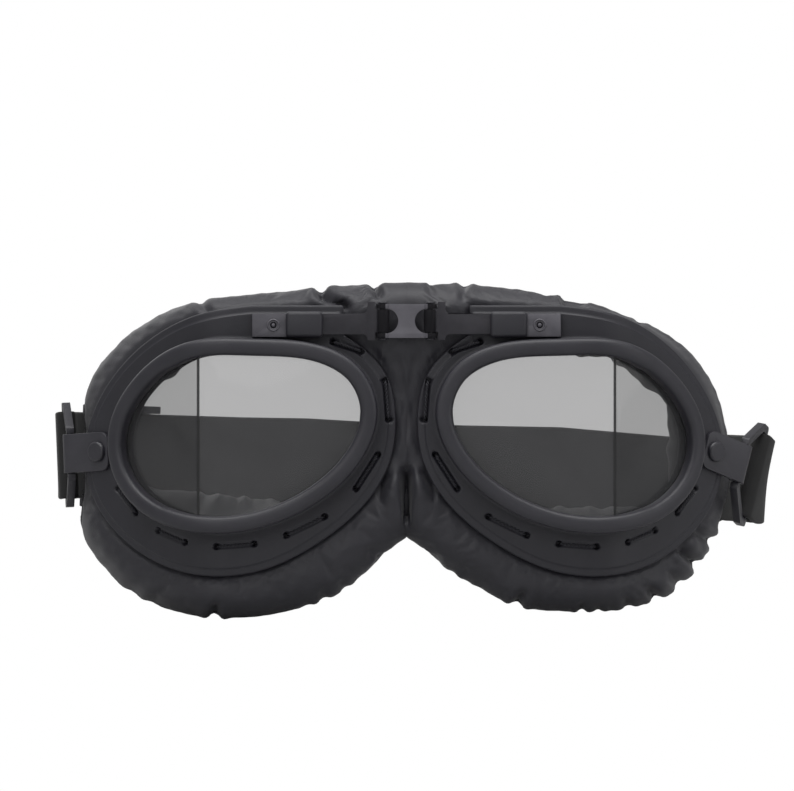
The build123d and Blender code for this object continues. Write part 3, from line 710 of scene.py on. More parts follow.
def rear_opening(side_name, angles):
    """Reach of the opening's rear edge, cut short where the padding is pulled straight across."""
    turns = np.stack([np.cos(angles), np.sin(angles)], -1)
    wave = 0.32 * np.sin(angles * 17 + SIDES[side_name]) + 0.22 * np.sin(angles * 29 + 2 * SIDES[side_name])
    reach = opening(REAR_IN, angles)
    for across, distance in REAR_LIMITS[side_name]:
        facing = turns @ np.array(across)
        limit = (distance + wave) / np.maximum(facing, 0.05)
        reach = np.where(facing > 0.05, np.minimum(reach, limit), reach)
    return reach


def quarter(share):
    """Height gained over a rounded edge, for the share of its width that lies inside."""
    share = np.clip(share, 0, 1)
    return np.sqrt(np.maximum(1 - (1 - share) ** 2.2, 0))


def padding_rows(reach, front_open, back_open):
    """The rows of one half's grid, each with its kind and its radii from the section centre."""
    round_width = np.minimum(8.0, reach - front_open - 3)
    back_width = np.minimum(6.0, round_width)
    flat, inner = reach - round_width - front_open, reach - back_width
    rows = [(FRONT, front_open + flat * share) for share in np.linspace(0, 1, ROWS["front"], endpoint=False)]
    rows += [(FRONT, reach - round_width * (1 - math.sin(a))) for a in np.linspace(0, math.pi / 2, ROWS["edge"])]
    rows += [(WALL + share, reach) for share in np.linspace(0, 1, ROWS["wall"] + 2)[1:-1]]
    rows += [(BACK, reach - back_width * (1 - math.sin(a))) for a in np.linspace(math.pi / 2, 0, ROWS["under"])]
    rows += [(BACK, inner + (back_open - inner) * share) for share in np.linspace(0, 1, ROWS["back"] + 1)[1:]]
    for share in np.linspace(0, 1, ROWS["tunnel"] + 1)[1:-1]:
        rows.append((TUNNEL + share, back_open + (front_open - back_open) * smoothstep(share * 1.2)))
    return np.array([kind for kind, _ in rows]), np.array([radius for _, radius in rows])


def padding_shape(side_name):
    """The padding of one half as a closed grid: front, rounded edge, face side and the tunnel behind the lens."""
    outer, angles, midway = section_lines(side_name, COLUMNS)
    direction = np.stack([np.cos(angles), np.sin(angles)], -1)
    reach = np.linalg.norm(outer - SECTION_CENTRE, axis=1)
    kinds, radii = padding_rows(reach, opening(FRONT_IN, angles), rear_opening(side_name, angles))
    view = SECTION_CENTRE + radii[..., None] * direction
    at_end = np.isclose(radii, reach)
    view[at_end & midway, 0] = 0
    view[..., 0] = np.maximum(view[..., 0], 0)
    inset = np.where(at_end & ~midway, 0, nearest(view, EDGE_LINES[side_name])[0])
    flange = VIEW_FLANGES[side_name]
    beyond = np.where(point_in(view, flange), 0, nearest(view, flange)[0])
    width = beyond + inset
    puff = np.where(beyond > 0, np.sin(math.pi * np.clip(beyond / np.maximum(width, 0.5), 0, 1) ** 0.8), 0)
    puff = puff * np.minimum(0.16 * width, 1.6) * smoothstep(inset / 3)
    front = EDGE_LIFT[0] + (FRONT_LIFT - EDGE_LIFT[0]) * quarter(inset / 7.0) + puff
    back = EDGE_LIFT[1] - (EDGE_LIFT[1] - REAR_LIFT) * quarter(inset / 5.0)
    kind = kinds[:, None]
    lift = np.where(kind < BACK, front + (back - front) * np.maximum(kind - WALL, 0), back)
    lift = np.where(kind >= TUNNEL, REAR_LIFT + (FRONT_LIFT - REAR_LIFT) * (kind - TUNNEL), lift)
    height = lift - FLANGE_LIFT
    points = bent(u_of_x(view[..., 0], height), view[..., 1], height)
    return points, view, inset, beyond, kinds, midway


def point_in(points, outline):
    """Whether each point lies inside a closed outline."""
    x, z = points[..., 0], points[..., 1]
    inside = np.zeros(x.shape, bool)
    for (x0, z0), (x1, z1) in zip(outline, np.roll(outline, -1, 0)):
        if z0 == z1:
            continue
        crosses = (z0 > z) != (z1 > z)
        inside ^= crosses & (x < (x1 - x0) * (z - z0) / (z1 - z0) + x0)
    return inside


def grid_normals(points):
    """Outward normals of a half's grid, closed both ways, whose first rows face forward."""
    down = np.roll(points, -1, 0) - np.roll(points, 1, 0)
    along = np.roll(points, -1, 1) - np.roll(points, 1, 1)
    out = unit(np.cross(down, along))
    return -out if out[5, 0, 1] > 0 else out


def finer(grid):
    """A closed grid with twice as many rows and columns, on a smooth curve through the old ones."""
    for axis in (0, 1):
        before, after, next_ = np.roll(grid, 1, axis), np.roll(grid, -1, axis), np.roll(grid, -2, axis)
        between = (9 * (grid + after) - (before + next_)) / 16
        shape = list(grid.shape)
        shape[axis] *= 2
        out = np.empty(shape)
        even, odd = [slice(None)] * grid.ndim, [slice(None)] * grid.ndim
        even[axis], odd[axis] = slice(0, None, 2), slice(1, None, 2)
        out[tuple(even)], out[tuple(odd)] = grid, between
        grid = out
    return grid


SIM_SCALE = 10  # the solver works on a model this many times larger
SIM_FRAMES = 20
SPARE_LEATHER = 0.012  # how much larger the leather is than what it covers
MOST_SHIFT = 1.6


def filled_leather(grids, loose):
    """How far the leather of each grid moves when it is filled out, from a short cloth simulation."""
    points = np.concatenate([g.reshape(-1, 3) for g in grids])
    faces, count = [], 0
    for g in grids:
        faces += grid_faces(*g.shape[:2], start=count)
        count += g.shape[0] * g.shape[1]
    obj = mesh_object("leather_sim", points * SIM_SCALE, faces, LEATHER_MAT)
    fix_normals(obj)
    held = obj.vertex_groups.new(name="held")
    for i, share in enumerate(1 - np.concatenate([l.ravel() for l in loose])):
        if share > 0.02:
            held.add([i], float(share), "REPLACE")
    cloth = obj.modifiers.new("cloth", "CLOTH")
    settings = cloth.settings
    settings.quality = 5
    settings.mass = 0.12
    settings.tension_stiffness = settings.compression_stiffness = 18
    settings.shear_stiffness = 8
    settings.bending_stiffness = 1.5
    settings.use_pressure = True
    settings.uniform_pressure_force = 4
    settings.shrink_min = -SPARE_LEATHER
    settings.vertex_group_mass = "held"
    settings.effector_weights.gravity = 0
    cloth.point_cache.frame_start, cloth.point_cache.frame_end = 1, SIM_FRAMES
    scene = bpy.context.scene
    for number in range(1, SIM_FRAMES + 1):
        scene.frame_set(number)
    shape = obj.evaluated_get(bpy.context.evaluated_depsgraph_get()).data
    moved = np.empty(len(shape.vertices) * 3, np.float32)
    shape.vertices.foreach_get("co", moved)
    moved = moved.reshape(-1, 3) / (MM * SIM_SCALE) - points
    bpy.data.objects.remove(obj)
    scene.frame_set(1)
    length = np.linalg.norm(moved, axis=1)[:, None]
    moved = moved * np.minimum(1, MOST_SHIFT / np.maximum(length, 1e-6))
    shifts, count = [], 0
    for g, l in zip(grids, loose):
        size = g.shape[0] * g.shape[1]
        shifts.append(moved[count:count + size].reshape(g.shape) * l[..., None])
        count += size
    return shifts


# Folds in the leather, seen from the front with x away from the nose: from, to, depth, width, height of the lips.
FOLDS = {
    "right": [
        ((28.6, 44.6), (21.5, 40.6), 0.9, 1.2, 0.2), ((24.8, 41.3), (15.5, 36.6), 2.8, 1.1, 0.6),
        ((10.6, 46.0), (7.0, 39.5), 2.2, 1.0, 0.4), ((60.0, 39.5), (57.0, 35.0), 0.9, 1.1, 0.3),
        ((55.8, -54.0), (55.6, -47.6), 1.9, 1.25, 0.45), ((74.5, -49.5), (71.0, -44.0), 0.7, 1.3, 0.3),
        ((23.3, -49.0), (25.5, -44.0), 0.9, 1.2, 0.4), ((17.6, -44.5), (20.0, -40.5), 0.6, 1.0, 0.3),
        ((6.8, -11.5), (8.6, -19.5), 0.9, 1.5, 0.3), ((94.0, -22.0), (90.0, -21.0), 0.6, 1.5, 0.2),
    ],
    "left": [
        ((31.5, -49.5), (35.0, -43.5), 1.9, 1.3, 0.5), ((51.0, -53.0), (50.6, -46.8), 1.2, 0.9, 0.3),
        ((56.5, -53.0), (55.0, -48.5), 0.7, 0.9, 0.3), ((65.0, -51.0), (63.0, -46.0), 0.6, 1.2, 0.3),
        ((73.4, -48.5), (69.5, -42.5), 2.0, 1.2, 0.6), ((84.8, -38.0), (78.5, -31.0), 2.6, 1.1, 0.9),
        ((90.0, -31.5), (83.0, -26.5), 1.9, 1.2, 0.9), ((79.5, -43.0), (75.5, -38.0), 1.0, 1.2, 0.6),
        ((46.0, 39.5), (53.5, 37.6), 2.0, 0.9, 0.3), ((17.0, 45.0), (16.4, 38.2), 1.2, 1.1, 0.4),
        ((68.0, 34.0), (66.5, 30.0), 0.8, 1.2, 0.3), ((6.2, -10.5), (8.8, -18.5), 0.8, 1.5, 0.3),
    ],
}
LOOP_DENT, LOOP_DENT_PLACE = 3.4, np.array([98.5, 22.0, -8.0])  # hollow the loop has pressed beside it
LOOP_DENT_SIZE = np.array([10.0, 18.5, 18.5])
TOP_GATHER = 0.07
DART_TOP, DART_FOOT = (0.0, -9.8), (0.0, -25.0)
GATHER = {"right": 0.20, "left": 0.36}  # height of the gathers along the lower edge


def from_segment(view, a, b):
    """Distance of each point from a segment, and its share of the way along."""
    a, b = np.asarray(a, float), np.asarray(b, float)
    share = np.clip(((view - a) @ (b - a)) / ((b - a) @ (b - a)), 0, 1)
    return np.linalg.norm(view - (a + share[..., None] * (b - a)), axis=-1), share


def noise_field(points, size, seed):
    """Smooth random heights between about -1 and 1, with features of this size in millimetres."""
    flat = points.reshape(-1, 3) / size + seed
    values = [noise.noise(Vector(p)) for p in flat.tolist()]
    return np.array(values).reshape(points.shape[:-1]) * 1.8


def near_loop(side_name, points):
    """How far each point of the wearer's-right half lies in the hollow beside its strap loop, from 0 to 1."""
    if side_name == "left":
        return np.zeros(points.shape[:-1])
    from_loop = np.linalg.norm((points - LOOP_DENT_PLACE) / LOOP_DENT_SIZE, axis=-1)
    return np.exp(-(from_loop ** 4))


def leather_height(side_name, points, view, inset, beyond):
    """Folds, gathers, the nose dart and small wrinkles, as a height above the filled leather."""
    side = SIDES[side_name]
    height = np.zeros(view.shape[:-1])
    for a, b, depth, width, lip in FOLDS[side_name]:
        far, share = from_segment(view, a, b)
        fade = smoothstep((1 - share) * 2.2)
        height -= depth * np.exp(-((far / width) ** 2)) * fade
        height += lip * np.exp(-(((far - 2.3 * width) / (1.2 * width)) ** 2)) * fade
    far, share = from_segment(view, DART_TOP, DART_FOOT)
    slot = 1.75 - 0.8 * share
    height -= 4.2 * np.exp(-((far / slot) ** 4)) * smoothstep(0.5 + share * 5)
    height += 1.3 * np.exp(-(((far - 4.0) / 1.8) ** 2)) * smoothstep(share * 3) * smoothstep(1.35 - share)
    edge = EDGE_LINES[side_name]
    run = distances(edge)[nearest(view, edge)[1]]
    low = smoothstep((-view[..., 1] - 8) / 20)
    waves = ((5.3, 1.0 + side, 0.35), (8.7, 2.0, 0.5), (13.1, 4.0 - side, 0.4), (23.0, 0.7, 0.4))
    ripple = sum(share * np.sin(2 * math.pi * run / pitch + phase) for pitch, phase, share in waves)
    pinched = ripple - 0.35 * np.abs(ripple)
    reach = np.exp(-((inset / 5.5) ** 2)) * smoothstep(beyond / 2.5 + (inset < 0.5))
    uneven = 0.7 + 0.9 * noise_field(points, 16.0, 23.0 * side)
    gather = TOP_GATHER + (GATHER[side_name] - TOP_GATHER) * low
    height += pinched * reach * np.clip(uneven, 0.1, 1.7) * gather
    bridge = smoothstep((14 - view[..., 0]) / 6) * smoothstep((view[..., 1] + 24) / 8)
    shown = smoothstep(beyond / 1.5 + (inset < 0.5))
    height += shown * 0.13 * noise_field(points, 9.0, 3.0 * side)
    height += shown * 0.05 * noise_field(points, 3.6, 11.0 * side)
    height -= LOOP_DENT * near_loop(side_name, points)
    streaks = points * np.array([1.0, 1.0, 0.38])
    height += shown * bridge * 0.30 * noise_field(streaks, 2.2, 17.0) * smoothstep((27 - view[..., 1]) / 5)
    return height


def looseness(view, inset, beyond, kinds):
    """How free the leather of each point is to be filled out, from 0 where it is held to 1."""
    kind = kinds[:, None]
    under = (kind == BACK) * smoothstep((5.5 - inset) / 3)
    wall = (kind >= WALL) & (kind < BACK)
    free = np.where(kind == FRONT, smoothstep(beyond / 2.5), np.maximum(under, wall))
    return free * smoothstep((view[..., 0] - 0.5) / 5)


def padding_half(name, filled, view, inset, beyond, kinds, midway):
    """One half of the padding with its folds and gathers, from the points of the filled leather."""
    kind = kinds[:, None]
    out = grid_normals(filled)
    shown = np.where(kind == BACK, np.maximum(0.5, 1.15 * near_loop(name, filled)), 1.0) * (kind < TUNNEL)
    height = leather_height(name, filled, view, inset, beyond) * shown
    on_middle = midway[None, :] & (view[..., 0] < 0.01)
    out[on_middle, 0] = 0
    out[on_middle] = unit(out[on_middle])
    shape = filled + out * height[..., None]
    shape[on_middle, 0] = 0
    side = SIDES[name]
    obj = grid_object(f"padding_{name}", shape, side, LEATHER_MAT, flip=side < 0)
    normals = grid_normals(shape)
    last, first = np.nonzero(kinds == FRONT)[0][-1], np.nonzero(kinds == BACK)[0][0]
    for row, other in ((last, last - 1), (first, first + 1)):
        flat = unit(normals[other] * np.array([0, 1, 1]))
        normals[row] = np.where(midway[:, None], flat, normals[row])
    normals = normals.reshape(-1, 3) * np.array([side, 1, 1])
    obj.data.normals_split_custom_set_from_vertices(normals.tolist())
    return obj


def bends_at_nose(obj):
    """Bake an object's placement into its mesh."""
    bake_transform(obj)


def padding_halves():
    """Both halves of the padding, filled by simulation, then folded and gathered."""
    shapes = {name: padding_shape(name) for name in SIDES}
    shifts = {name: 0.0 for name in SIDES}
    start = 0.05 * np.sin(np.arange(COLUMNS // 2) * 2.1)[None, :, None]
    coarse = [points[::2, ::2] + start for points, *_ in shapes.values()]
    loose = [looseness(*shape[1:5])[::2, ::2] for shape in shapes.values()]
    shifts = {name: finer(shift) for name, shift in zip(SIDES, filled_leather(coarse, loose))}
    for name, (points, *rest) in shapes.items():
        obj = padding_half(name, points + shifts[name], *rest)
        bends_at_nose(obj)
        stands_for(obj, "cover_leather", f"foam_pad_{name}", "mask_cover")


padding_halves()
EDGE_ROWS = {"outer": 9, "middle": 26, "inner": 7}
LINING_THICK = 1.3


def lining_rows(reach, inner):
    """Rows of the lining's grid: outer rounded edge, sheet and inner rounded edge, as (radii, height) pairs."""
    half = LINING_THICK / 2
    turns = np.linspace(0, math.pi, EDGE_ROWS["outer"])
    rows = [(reach - 0.7 + 0.7 * np.sin(a), half + half * math.cos(a)) for a in turns]
    rows += [(reach + (inner - reach) * share, 0.0) for share in np.linspace(0.04, 0.96, EDGE_ROWS["middle"])]
    for a in np.linspace(math.pi, 2 * math.pi, EDGE_ROWS["inner"]):
        rows.append((inner + 0.6 + 0.6 * np.sin(a), half + half * math.cos(a)))
    return np.array([radius for radius, _ in rows]), np.array([height for _, height in rows])


def lining_half(side_name):
    """Pile lining on the face side, a thin soft sheet with rounded edges."""
    side = SIDES[side_name]
    outer, angles, midway = section_lines(side_name, COLUMNS // 2)
    direction = np.stack([np.cos(angles), np.sin(angles)], -1)
    reach = np.linalg.norm(outer - SECTION_CENTRE, axis=1) - np.where(midway, 0, 2.6)
    radii, lift = lining_rows(reach, rear_opening(side_name, angles) + 0.5)
    view = SECTION_CENTRE + radii[..., None] * direction
    view[:EDGE_ROWS["outer"], midway, 0] = 0
    view[..., 0] = np.maximum(view[..., 0], 0)
    height = lift[:, None] * np.ones(radii.shape[1]) - FLANGE_LIFT
    points = bent(u_of_x(view[..., 0], height), view[..., 1], height)
    points[..., 1] += np.where(lift[:, None] < 0.3, -0.25 + 0.22 * noise_field(points, 8, 5.0), 0)
    obj = grid_object(f"lining_{side_name}", points, side, LINING_MAT, flip=side > 0)
    fix_normals(obj)
    normals = np.array([corner.vector for corner in obj.data.corner_normals])
    corners = np.array([loop.vertex_index for loop in obj.data.loops])
    on_seam = abs(np.array([v.co.x for v in obj.data.vertices])[corners]) < 0.01 * MM
    normals[on_seam, 0] = 0
    obj.data.normals_split_custom_set(unit(normals).tolist())
    bends_at_nose(obj)
    stands_for(obj, "lining", "face_lining")


for name in SIDES:
    lining_half(name)

NOSE_STITCHES = 6
STITCH_BEND = [(-13.2, 0.8), (-13.7, 0.4), (-13.7, -0.4), (-13.2, -0.8)]  # y, and z from the stitch's middle
stitches = []
for number in range(NOSE_STITCHES):
    z = -10.5 - number * 2.4
    stitches.append(tube([(0, y, z + rise) for y, rise in STITCH_BEND], 0.3, 8))
nose_stitches = mesh_object("nose_stitches", *joined(stitches), THREAD_MAT)
stands_for(nose_stitches, "thread", "nose_stitching", rides="bridge")

# ---------------------------------------------------------------- sleeve and seat that hold each bridge arm
ARM_HOLDERS = [  # name, then ranges of x on the left, y and z, and the rounding
    ("arm_sleeve", (24.3, 35.0), (-24.5, -18.6), (28.7, 36.4), 1.15),
    ("arm_seat", (34.2, 44.9), (-21.25, -18.6), (28.9, 35.8), 0.4),
]
for name, sign in SIDES.items():
    for piece, x, y, z, radius in ARM_HOLDERS:
        block = rounded_box(f"{piece}_{name}", sorted(sign * end for end in x), y, z, radius, FRAME_MAT)
        stands_for(block, "moulded_frame", f"frame_{name}", rides=f"{name}_eye")


# ---------------------------------------------------------------- rolled eyelet through each arm's tail
EYELET_PLACE = (38.6, -22.6, 32.4)  # on the front of the tail plate
EYELET_PROFILE = [  # radius and height above the plate
    (1.85, 0.02), (1.8, 0.2), (1.64, 0.3), (1.48, 0.28), (1.36, 0.14), (1.32, -0.55), (0.62, -0.55), (0.6, -0.2),
    (0.52, 0.1), (0.34, 0.22), (0.0, 0.26),
]
EYELET_WELL = (3, 6)  # first and last ring of the hole between the rolled ring and the set end, darkened as painted shade
EYELET_AROUND = 40


def eyelet(side_name):
    """Rolled hollow rivet: a raised ring, a well darkened with painted shade and the set end inside it."""
    angles = np.linspace(0, 2 * math.pi, EYELET_AROUND, endpoint=False)
    x, y, z = EYELET_PLACE
    flat = np.ones(EYELET_AROUND)
    rings = [
        np.stack([x + radius * np.cos(angles), (y - height) * flat, z + radius * np.sin(angles)], -1)
        for radius, height in EYELET_PROFILE
    ]
    side = SIDES[side_name]
    obj = grid_object(f"tail_eyelet_{side_name}", np.stack(rings), side, EYELET_MAT, close_rows=False)
    # the well takes the darker pin material as painted shade
    obj.data.materials.append(PIN_MAT)
    first, last = EYELET_WELL
    for polygon in obj.data.polygons:
        if first <= polygon.index // EYELET_AROUND <= last:
            polygon.material_index = 1
    fix_normals(obj)
    stands_for(obj, "rivets", f"arm_rivet_{side_name}", rides=f"{side_name}_eye")


for name in SIDES:
    eyelet(name)

# ---------------------------------------------------------------- strap
STRAP_TILT = math.radians(2.0)
STRAP_Z = -9.1
STRAP_HALF = 12.8  # of its width
STRAP_THICK = 1.5
STRAP_ROUND = 0.6  # of its edges
LAYER_HALF = 0.95  # half the distance between the middles of two layers
WRAP_R = 2.1  # of the strap's turn round a loop's bar
LOOP_REACH = 14.0  # from a loop's hinge to its outer bar
LOOPS = {"right": (3.0, 5.6), "left": (18.0, 18.0)}  # how each loop hangs: droop and outward turn, in degrees
STRAP_START, STRAP_START_WAY = np.array([-100.6, 40.0]), np.array([0.04, 1.0])
SIDE_RUN = np.array([[-95.5, 62.0], [-53.0, 94.0]])  # straight doubled run of the strap, in plan
STRAP_BACK, STRAP_BACK_WAY = np.array([0.0, 112.0]), np.array([1.0, 0.02])
SEAM = np.array([[104.2, 40.0], [98.0, 62.0]])  # sewn run of the strap, in plan
DROP_X = (-90, -50, -30, -14, 16, 46, 78, 95)
DROP_Z = (0, 0.05, 0.4, 0, -0.1, 0.4, -1.2, -0.6)  # of the strap behind the head, at each of those places
BEHIND_Y = 70  # the strap counts as behind the head from here
CUTS = {"right": {"swing": 45.0, "turn": 62.0}, "left": {"swing": 62.0, "turn": 88.0}}  # where lengths end
SIDE_END_Y = 93.2
TEMPLE_OUT = np.array([math.sin(BEND), -math.cos(BEND), 0])
STRAP_UP = np.array([math.sin(STRAP_TILT), 0, math.cos(STRAP_TILT)])


def turned(vector, axis, angle):
    """A vector turned about an axis."""
    along = axis * (axis @ vector)
    return vector * math.cos(angle) + np.cross(axis, vector) * math.sin(angle) + along * (1 - math.cos(angle))


def loop_frame(side_name):
    """The middle of a loop's outer bar and the loop's outward, upward and facing directions."""
    droop, outward = (math.radians(a) for a in LOOPS[side_name])
    hinge = next(j for j in frame["joints"] if j["name"] == f"loop_hinge_{side_name}")
    ways = ((math.sin(outward), math.cos(outward), 0), (0, 0, 1.0), (math.cos(outward), -math.sin(outward), 0))
    out, up, face = (turned(np.array(way), TEMPLE_OUT, -droop) * [SIDES[side_name], 1, 1] for way in ways)
    return np.array(hinge["pos_m"]) / MM + LOOP_REACH * out, out, up, face


def on_strap(plan):
    """Places on the strap's middle line from plan points."""
    x, y = np.atleast_2d(plan).T
    drop = np.interp(x, DROP_X, DROP_Z) * (y > BEHIND_Y)
    return np.stack([x * math.cos(STRAP_TILT), y, STRAP_Z - x * math.sin(STRAP_TILT) + drop], -1)


def aside(points, distance):
    """Plan points moved to the left of their line, by one distance or one for each point."""
    way = unit(np.gradient(points, axis=0))
    return points + np.reshape(distance, (-1, 1)) * np.stack([-way[:, 1], way[:, 0]], -1)


def hermite(a, b, way_a, way_b, count):
    """Points on a smooth curve between two places, from the ways it leaves and arrives."""
    t = np.linspace(0, 1, count)[:, None]
    size = np.linalg.norm(b - a)
    leave, arrive = unit(way_a) * size, unit(way_b) * size
    return (
        (2 * t**3 - 3 * t**2 + 1) * a + (t**3 - 2 * t**2 + t) * leave
        + (-2 * t**3 + 3 * t**2) * b + (t**3 - t**2) * arrive
    )


def round_bar(side_name, first):
    """Middle line of the strap round a loop's bar, with the upward direction, from the face named first."""
    bar, out, up, face = loop_frame(side_name)
    turns = np.radians(np.linspace(90, 270, 13))
    points = [bar + WRAP_R * (math.cos(a) * out + first * math.sin(a) * face) for a in turns]
    ends = [bar + 4.0 * out + sign * first * WRAP_R * face for sign in (1, -1)]
    return with_up([ends[0], *points, ends[1]], up)


def with_up(points, up):
    """Rows of six numbers: each point and the strap's upward direction there."""
    return np.hstack([points, np.tile(up, (len(points), 1))])


def strap_path():
    """Middle line of the whole strap with its upward direction."""
    run_way, seam_way = SIDE_RUN[1] - SIDE_RUN[0], SEAM[0] - SEAM[1]
    approach = hermite(STRAP_START, SIDE_RUN[0], STRAP_START_WAY, run_way, 16)
    side_line = np.vstack([approach, np.linspace(SIDE_RUN[0], SIDE_RUN[1], 24)[1:]])
    back = np.vstack([
        hermite(SIDE_RUN[1], STRAP_BACK, run_way, STRAP_BACK_WAY, 26)[1:],
        hermite(STRAP_BACK, SEAM[1], STRAP_BACK_WAY, seam_way, 40)[1:-1],
    ])
    seam_line = np.linspace(SEAM[1], SEAM[0], 14)
    across = np.linspace(1, -1, len(back))  # the single layer crosses over behind the head
    shift = -LAYER_HALF * np.abs(np.concatenate([np.ones(len(side_line)), across, np.ones(len(seam_line))]))
    inner = aside(np.vstack([side_line, back, seam_line]), shift)
    return np.vstack([
        with_up(on_strap(aside(side_line, LAYER_HALF))[::-1], STRAP_UP), round_bar("right", 1),
        with_up(on_strap(inner), STRAP_UP), round_bar("left", -1),
        with_up(on_strap(aside(seam_line, LAYER_HALF))[::-1], STRAP_UP),
    ])


def strap_section():
    """The strap's cross-section as (height, thickness) points: two flat faces and two rounded edges."""
    flat, thick = STRAP_HALF - STRAP_ROUND, STRAP_THICK / 2
    turns = np.radians(np.linspace(80, -80, 7))
    section = [(high, thick) for high in np.linspace(-flat, flat, 22)]
    section += [(flat + STRAP_ROUND * math.cos(a), thick * math.sin(a)) for a in turns]
    section += [(high, -thick) for high in np.linspace(flat, -flat, 22)]
    section += [(-flat - STRAP_ROUND * math.cos(a), thick * math.sin(a)) for a in turns[::-1]]
    return np.array(section)


def strap_ribbon():
    """The strap as cross-section rings along its path, with the distance along it."""
    path = spline(strap_path(), 1400, closed=False)
    centre, up = path[:, :3], unit(path[:, 3:])
    face = unit(np.cross(unit(np.gradient(centre, axis=0)), up))
    section = strap_section()
    rings = centre[:, None] + section[None, :, :1] * up[:, None] + section[None, :, 1:] * face[:, None]
    return rings, distances(centre), section


def strap_piece(name, rings, run, section):
    """One length of the strap, closed at both ends."""
    count, around = rings.shape[:2]
    corners = count * around
    caps = [tuple(range(start, start + around)) for start in (corners, corners + around)]
    caps[0] = caps[0][::-1]
    faces = grid_faces(count, around, close_rows=False) + caps
    uv = np.stack([np.repeat(run, around), np.tile(section[:, 0], count)], -1)
    points = np.vstack([rings.reshape(-1, 3), rings[0], rings[-1]])
    obj = mesh_object(name, points, faces, STRAP_MAT, uv=np.vstack([uv, uv[:around], uv[-around:]]))
    obj.data.polygons.foreach_set("use_smooth", [True] * (len(faces) - 2) + [False] * 2)
    stands_for(obj, "webbing", "head_strap")
    return obj


def strap_labels(centre):
    """Which length of the strap each ring belongs to."""
    x, y = centre[:, 0], centre[:, 1]
    labels = np.where(x < 0, "back_right", "back_left").astype(object)
    labels[(x < 0) & (y < SIDE_END_Y)] = "side_right"
    for side_name, here in (("right", x < 0), ("left", x >= 0)):
        for part in ("turn", "swing"):
            labels[here & (y < CUTS[side_name][part])] = f"{part}_{side_name}"
    return labels


def bends_at_loop(obj):
    """Bake an object's placement into its mesh."""
    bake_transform(obj)


def move_strap(obj, part, side_name):
    """Attach the strap's side length to its eye unit and bake the placement of every other length."""
    eye = f"{side_name}_eye"
    if part == "swing":
        bends_at_loop(obj)
    elif part == "turn":
        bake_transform(obj)
    elif part == "side":
        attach(obj, eye)
    else:
        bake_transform(obj)


def build_strap():
    """The whole strap, cut into named lengths."""
    rings, run, section = strap_ribbon()
    labels = strap_labels(rings.mean(1))
    starts = [0, *(i for i in range(1, len(labels)) if labels[i] != labels[i - 1]), len(labels)]
    for number, (start, end) in enumerate(zip(starts, starts[1:]), 1):
        rows = slice(start, end + 1)
        obj = strap_piece(f"strap_{number:02d}_{labels[start]}", rings[rows], run[rows], section)
        move_strap(obj, *labels[start].split("_"))


build_strap()

TACK_ROWS, TACK_PITCH = 4, 4.5
TACK_BEND = [(-0.75, -0.15), (-0.4, 0.14), (0.4, 0.14), (0.75, -0.15)]  # along the width, and above the strap


def strap_tacks():
    """Rows of stitches across the strap's sewn run."""
    way = unit(SEAM[1] - SEAM[0])
    out = np.array([way[1], -way[0]])
    above = LAYER_HALF + STRAP_THICK / 2 + 0.05
    tacks = []
    for row in range(TACK_ROWS):
        foot = on_strap(SEAM[0] + way * (row + 0.5) * TACK_PITCH + out * above)[0]
        for step in np.arange(-9.5, 9.6, 1.9):
            ends = [foot + STRAP_UP * (step + d) + np.append(out, 0) * high for d, high in TACK_BEND]
            tacks.append(tube(ends, 0.28, 7))
    obj = mesh_object("strap_tacks", *joined(tacks), THREAD_MAT)
    bends_at_loop(obj)
    stands_for(obj, "thread", "strap_stitching")


strap_tacks()

# ---------------------------------------------------------------- finishes of the CAD's own pieces
CAD_LOOKS = {  # material, and width of the softened edges in millimetres
    "front_lens": (FRONT_LENS_MAT, 0.15), "side_lens": (SIDE_LENS_MAT, 0.15), "lens_joint": (JOINT_MAT, 0),
    "lens_gasket": (GASKET_MAT, 0), "bridge_arm": (ARM_MAT, 0.22),
    "hinge_pin": (PIN_MAT, 0.15), "bridge_link": (LINK_MAT, 0.28), "temple_tab": (HARDWARE_MAT, 0.28),
    "temple_rivet": (RIVET_MAT, 0), "strap_loop": (LOOP_MAT, 0.45), "strap_slider": (LOOP_MAT, 0.35),
}
SHARP_ANGLE = math.radians(38)  # edges sharper than this are softened or split


def modify(obj, name, kind, **values):
    modifier = obj.modifiers.new(name, kind)
    for key, value in values.items():
        setattr(modifier, key, value)


for node, obj in frame["nodes"].items():
    kind = node.rsplit("_", 1)[0] if node.endswith(("_right", "_left")) else node
    if kind not in CAD_LOOKS:
        continue
    material, edge = CAD_LOOKS[kind]
    obj.data.materials.clear()
    obj.data.materials.append(material)
    modify(obj, "weld", "WELD", merge_threshold=0.01 * MM)
    if edge:
        modify(obj, "flat", "DECIMATE", decimate_type="DISSOLVE", angle_limit=math.radians(1.5))
        modify(
            obj, "bevel", "BEVEL", width=edge * MM, segments=3, limit_method="ANGLE", angle_limit=SHARP_ANGLE,
            harden_normals=True,
        )
    modify(obj, "smooth", "EDGE_SPLIT", split_angle=SHARP_ANGLE)
    obj.data.polygons.foreach_set("use_smooth", [True] * len(obj.data.polygons))


# ---------------------------------------------------------------- stage, light and camera, in metres
FLOOR_Z, FLOOR_HALF = -0.0535, 15


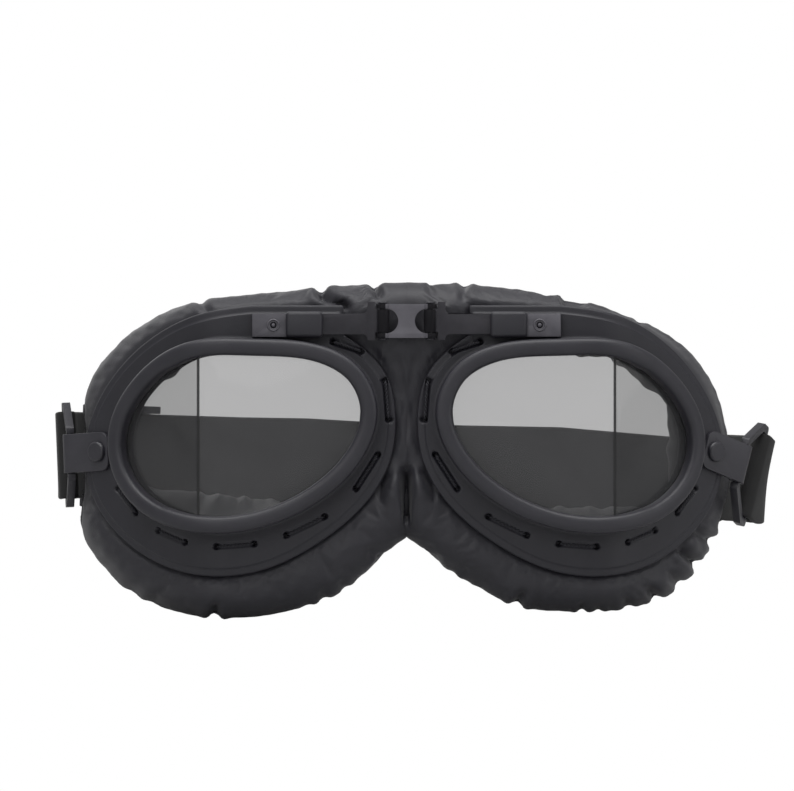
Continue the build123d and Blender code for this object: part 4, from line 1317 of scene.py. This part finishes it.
def flat_white(name):
    """White to the camera, and an ordinary pale surface to the light."""
    n = Nodes(name)
    n.fix(Base__Color=(0.45, 0.45, 0.45, 1), Roughness=0.9)
    seen = n.add("ShaderNodeEmission", Color=(1, 1, 1, 1))
    mix = n.add("ShaderNodeMixShader")
    n.link(n.add("ShaderNodeLightPath").outputs["Is Camera Ray"], mix.inputs[0])
    n.link(n.surface.outputs[0], mix.inputs[1])
    n.link(seen.outputs[0], mix.inputs[2])
    n.link(mix.outputs[0], n.tree.nodes["Material Output"].inputs["Surface"])
    return n.material


corners = np.array([(-1, -1, 0), (1, -1, 0), (1, 1, 0), (-1, 1, 0)]) * FLOOR_HALF
floor = mesh_object("studio_floor", corners / MM, [(0, 1, 2, 3)], flat_white("studio_white"))
floor.location = (0, 0, FLOOR_Z)

LIGHTS = [  # name, place, size, power; each looks at the origin
    ("top_soft", (0.0, -0.30, 1.1), (1.4, 0.8), 14),
    ("front_soft", (-0.6, -1.6, 0.8), (1.0, 1.0), 5),
    ("side_soft", (1.3, -0.7, 0.5), (0.8, 1.0), 3),
    ("back_soft", (-0.6, 1.2, 0.8), (1.0, 1.0), 4),
]
for name, place, size, power in LIGHTS:
    light = bpy.data.lights.new(name, "AREA")
    light.shape = "RECTANGLE"
    light.size, light.size_y = size
    light.energy = power
    lamp = new_object(name, light)
    lamp.location = place
    lamp.rotation_euler = (-Vector(place)).to_track_quat("-Z", "Y").to_euler()

scene = bpy.context.scene
scene.world = bpy.data.worlds.new("studio")
scene.world.use_nodes = True
sky = scene.world.node_tree
strength = sky.nodes.new("ShaderNodeMapRange")
strength.inputs["To Min"].default_value = 0.42  # what lights the object
strength.inputs["To Max"].default_value = 1.0  # what the camera sees
sky.links.new(sky.nodes.new("ShaderNodeLightPath").outputs["Is Camera Ray"], strength.inputs["Value"])
sky.links.new(strength.outputs["Result"], sky.nodes["Background"].inputs["Strength"])
sky.nodes["Background"].inputs["Color"].default_value = (1, 1, 1, 1)
scene.view_settings.view_transform = "Standard"

PICTURE_WIDTH = 0.2303  # what the picture's width spans at the flange
CAMERA_FAR = 3.5
PICTURE_MIDDLE = (-0.00276, 0.0120)
camera_data = bpy.data.cameras.new("camera")
camera_data.sensor_width = 36
camera_data.lens = 36 * (CAMERA_FAR - FLANGE_LIFT * MM) / PICTURE_WIDTH
scene.camera = new_object("camera", camera_data)
scene.camera.location = (PICTURE_MIDDLE[0], -CAMERA_FAR, PICTURE_MIDDLE[1])
scene.camera.rotation_euler = (math.radians(90), 0, 0)
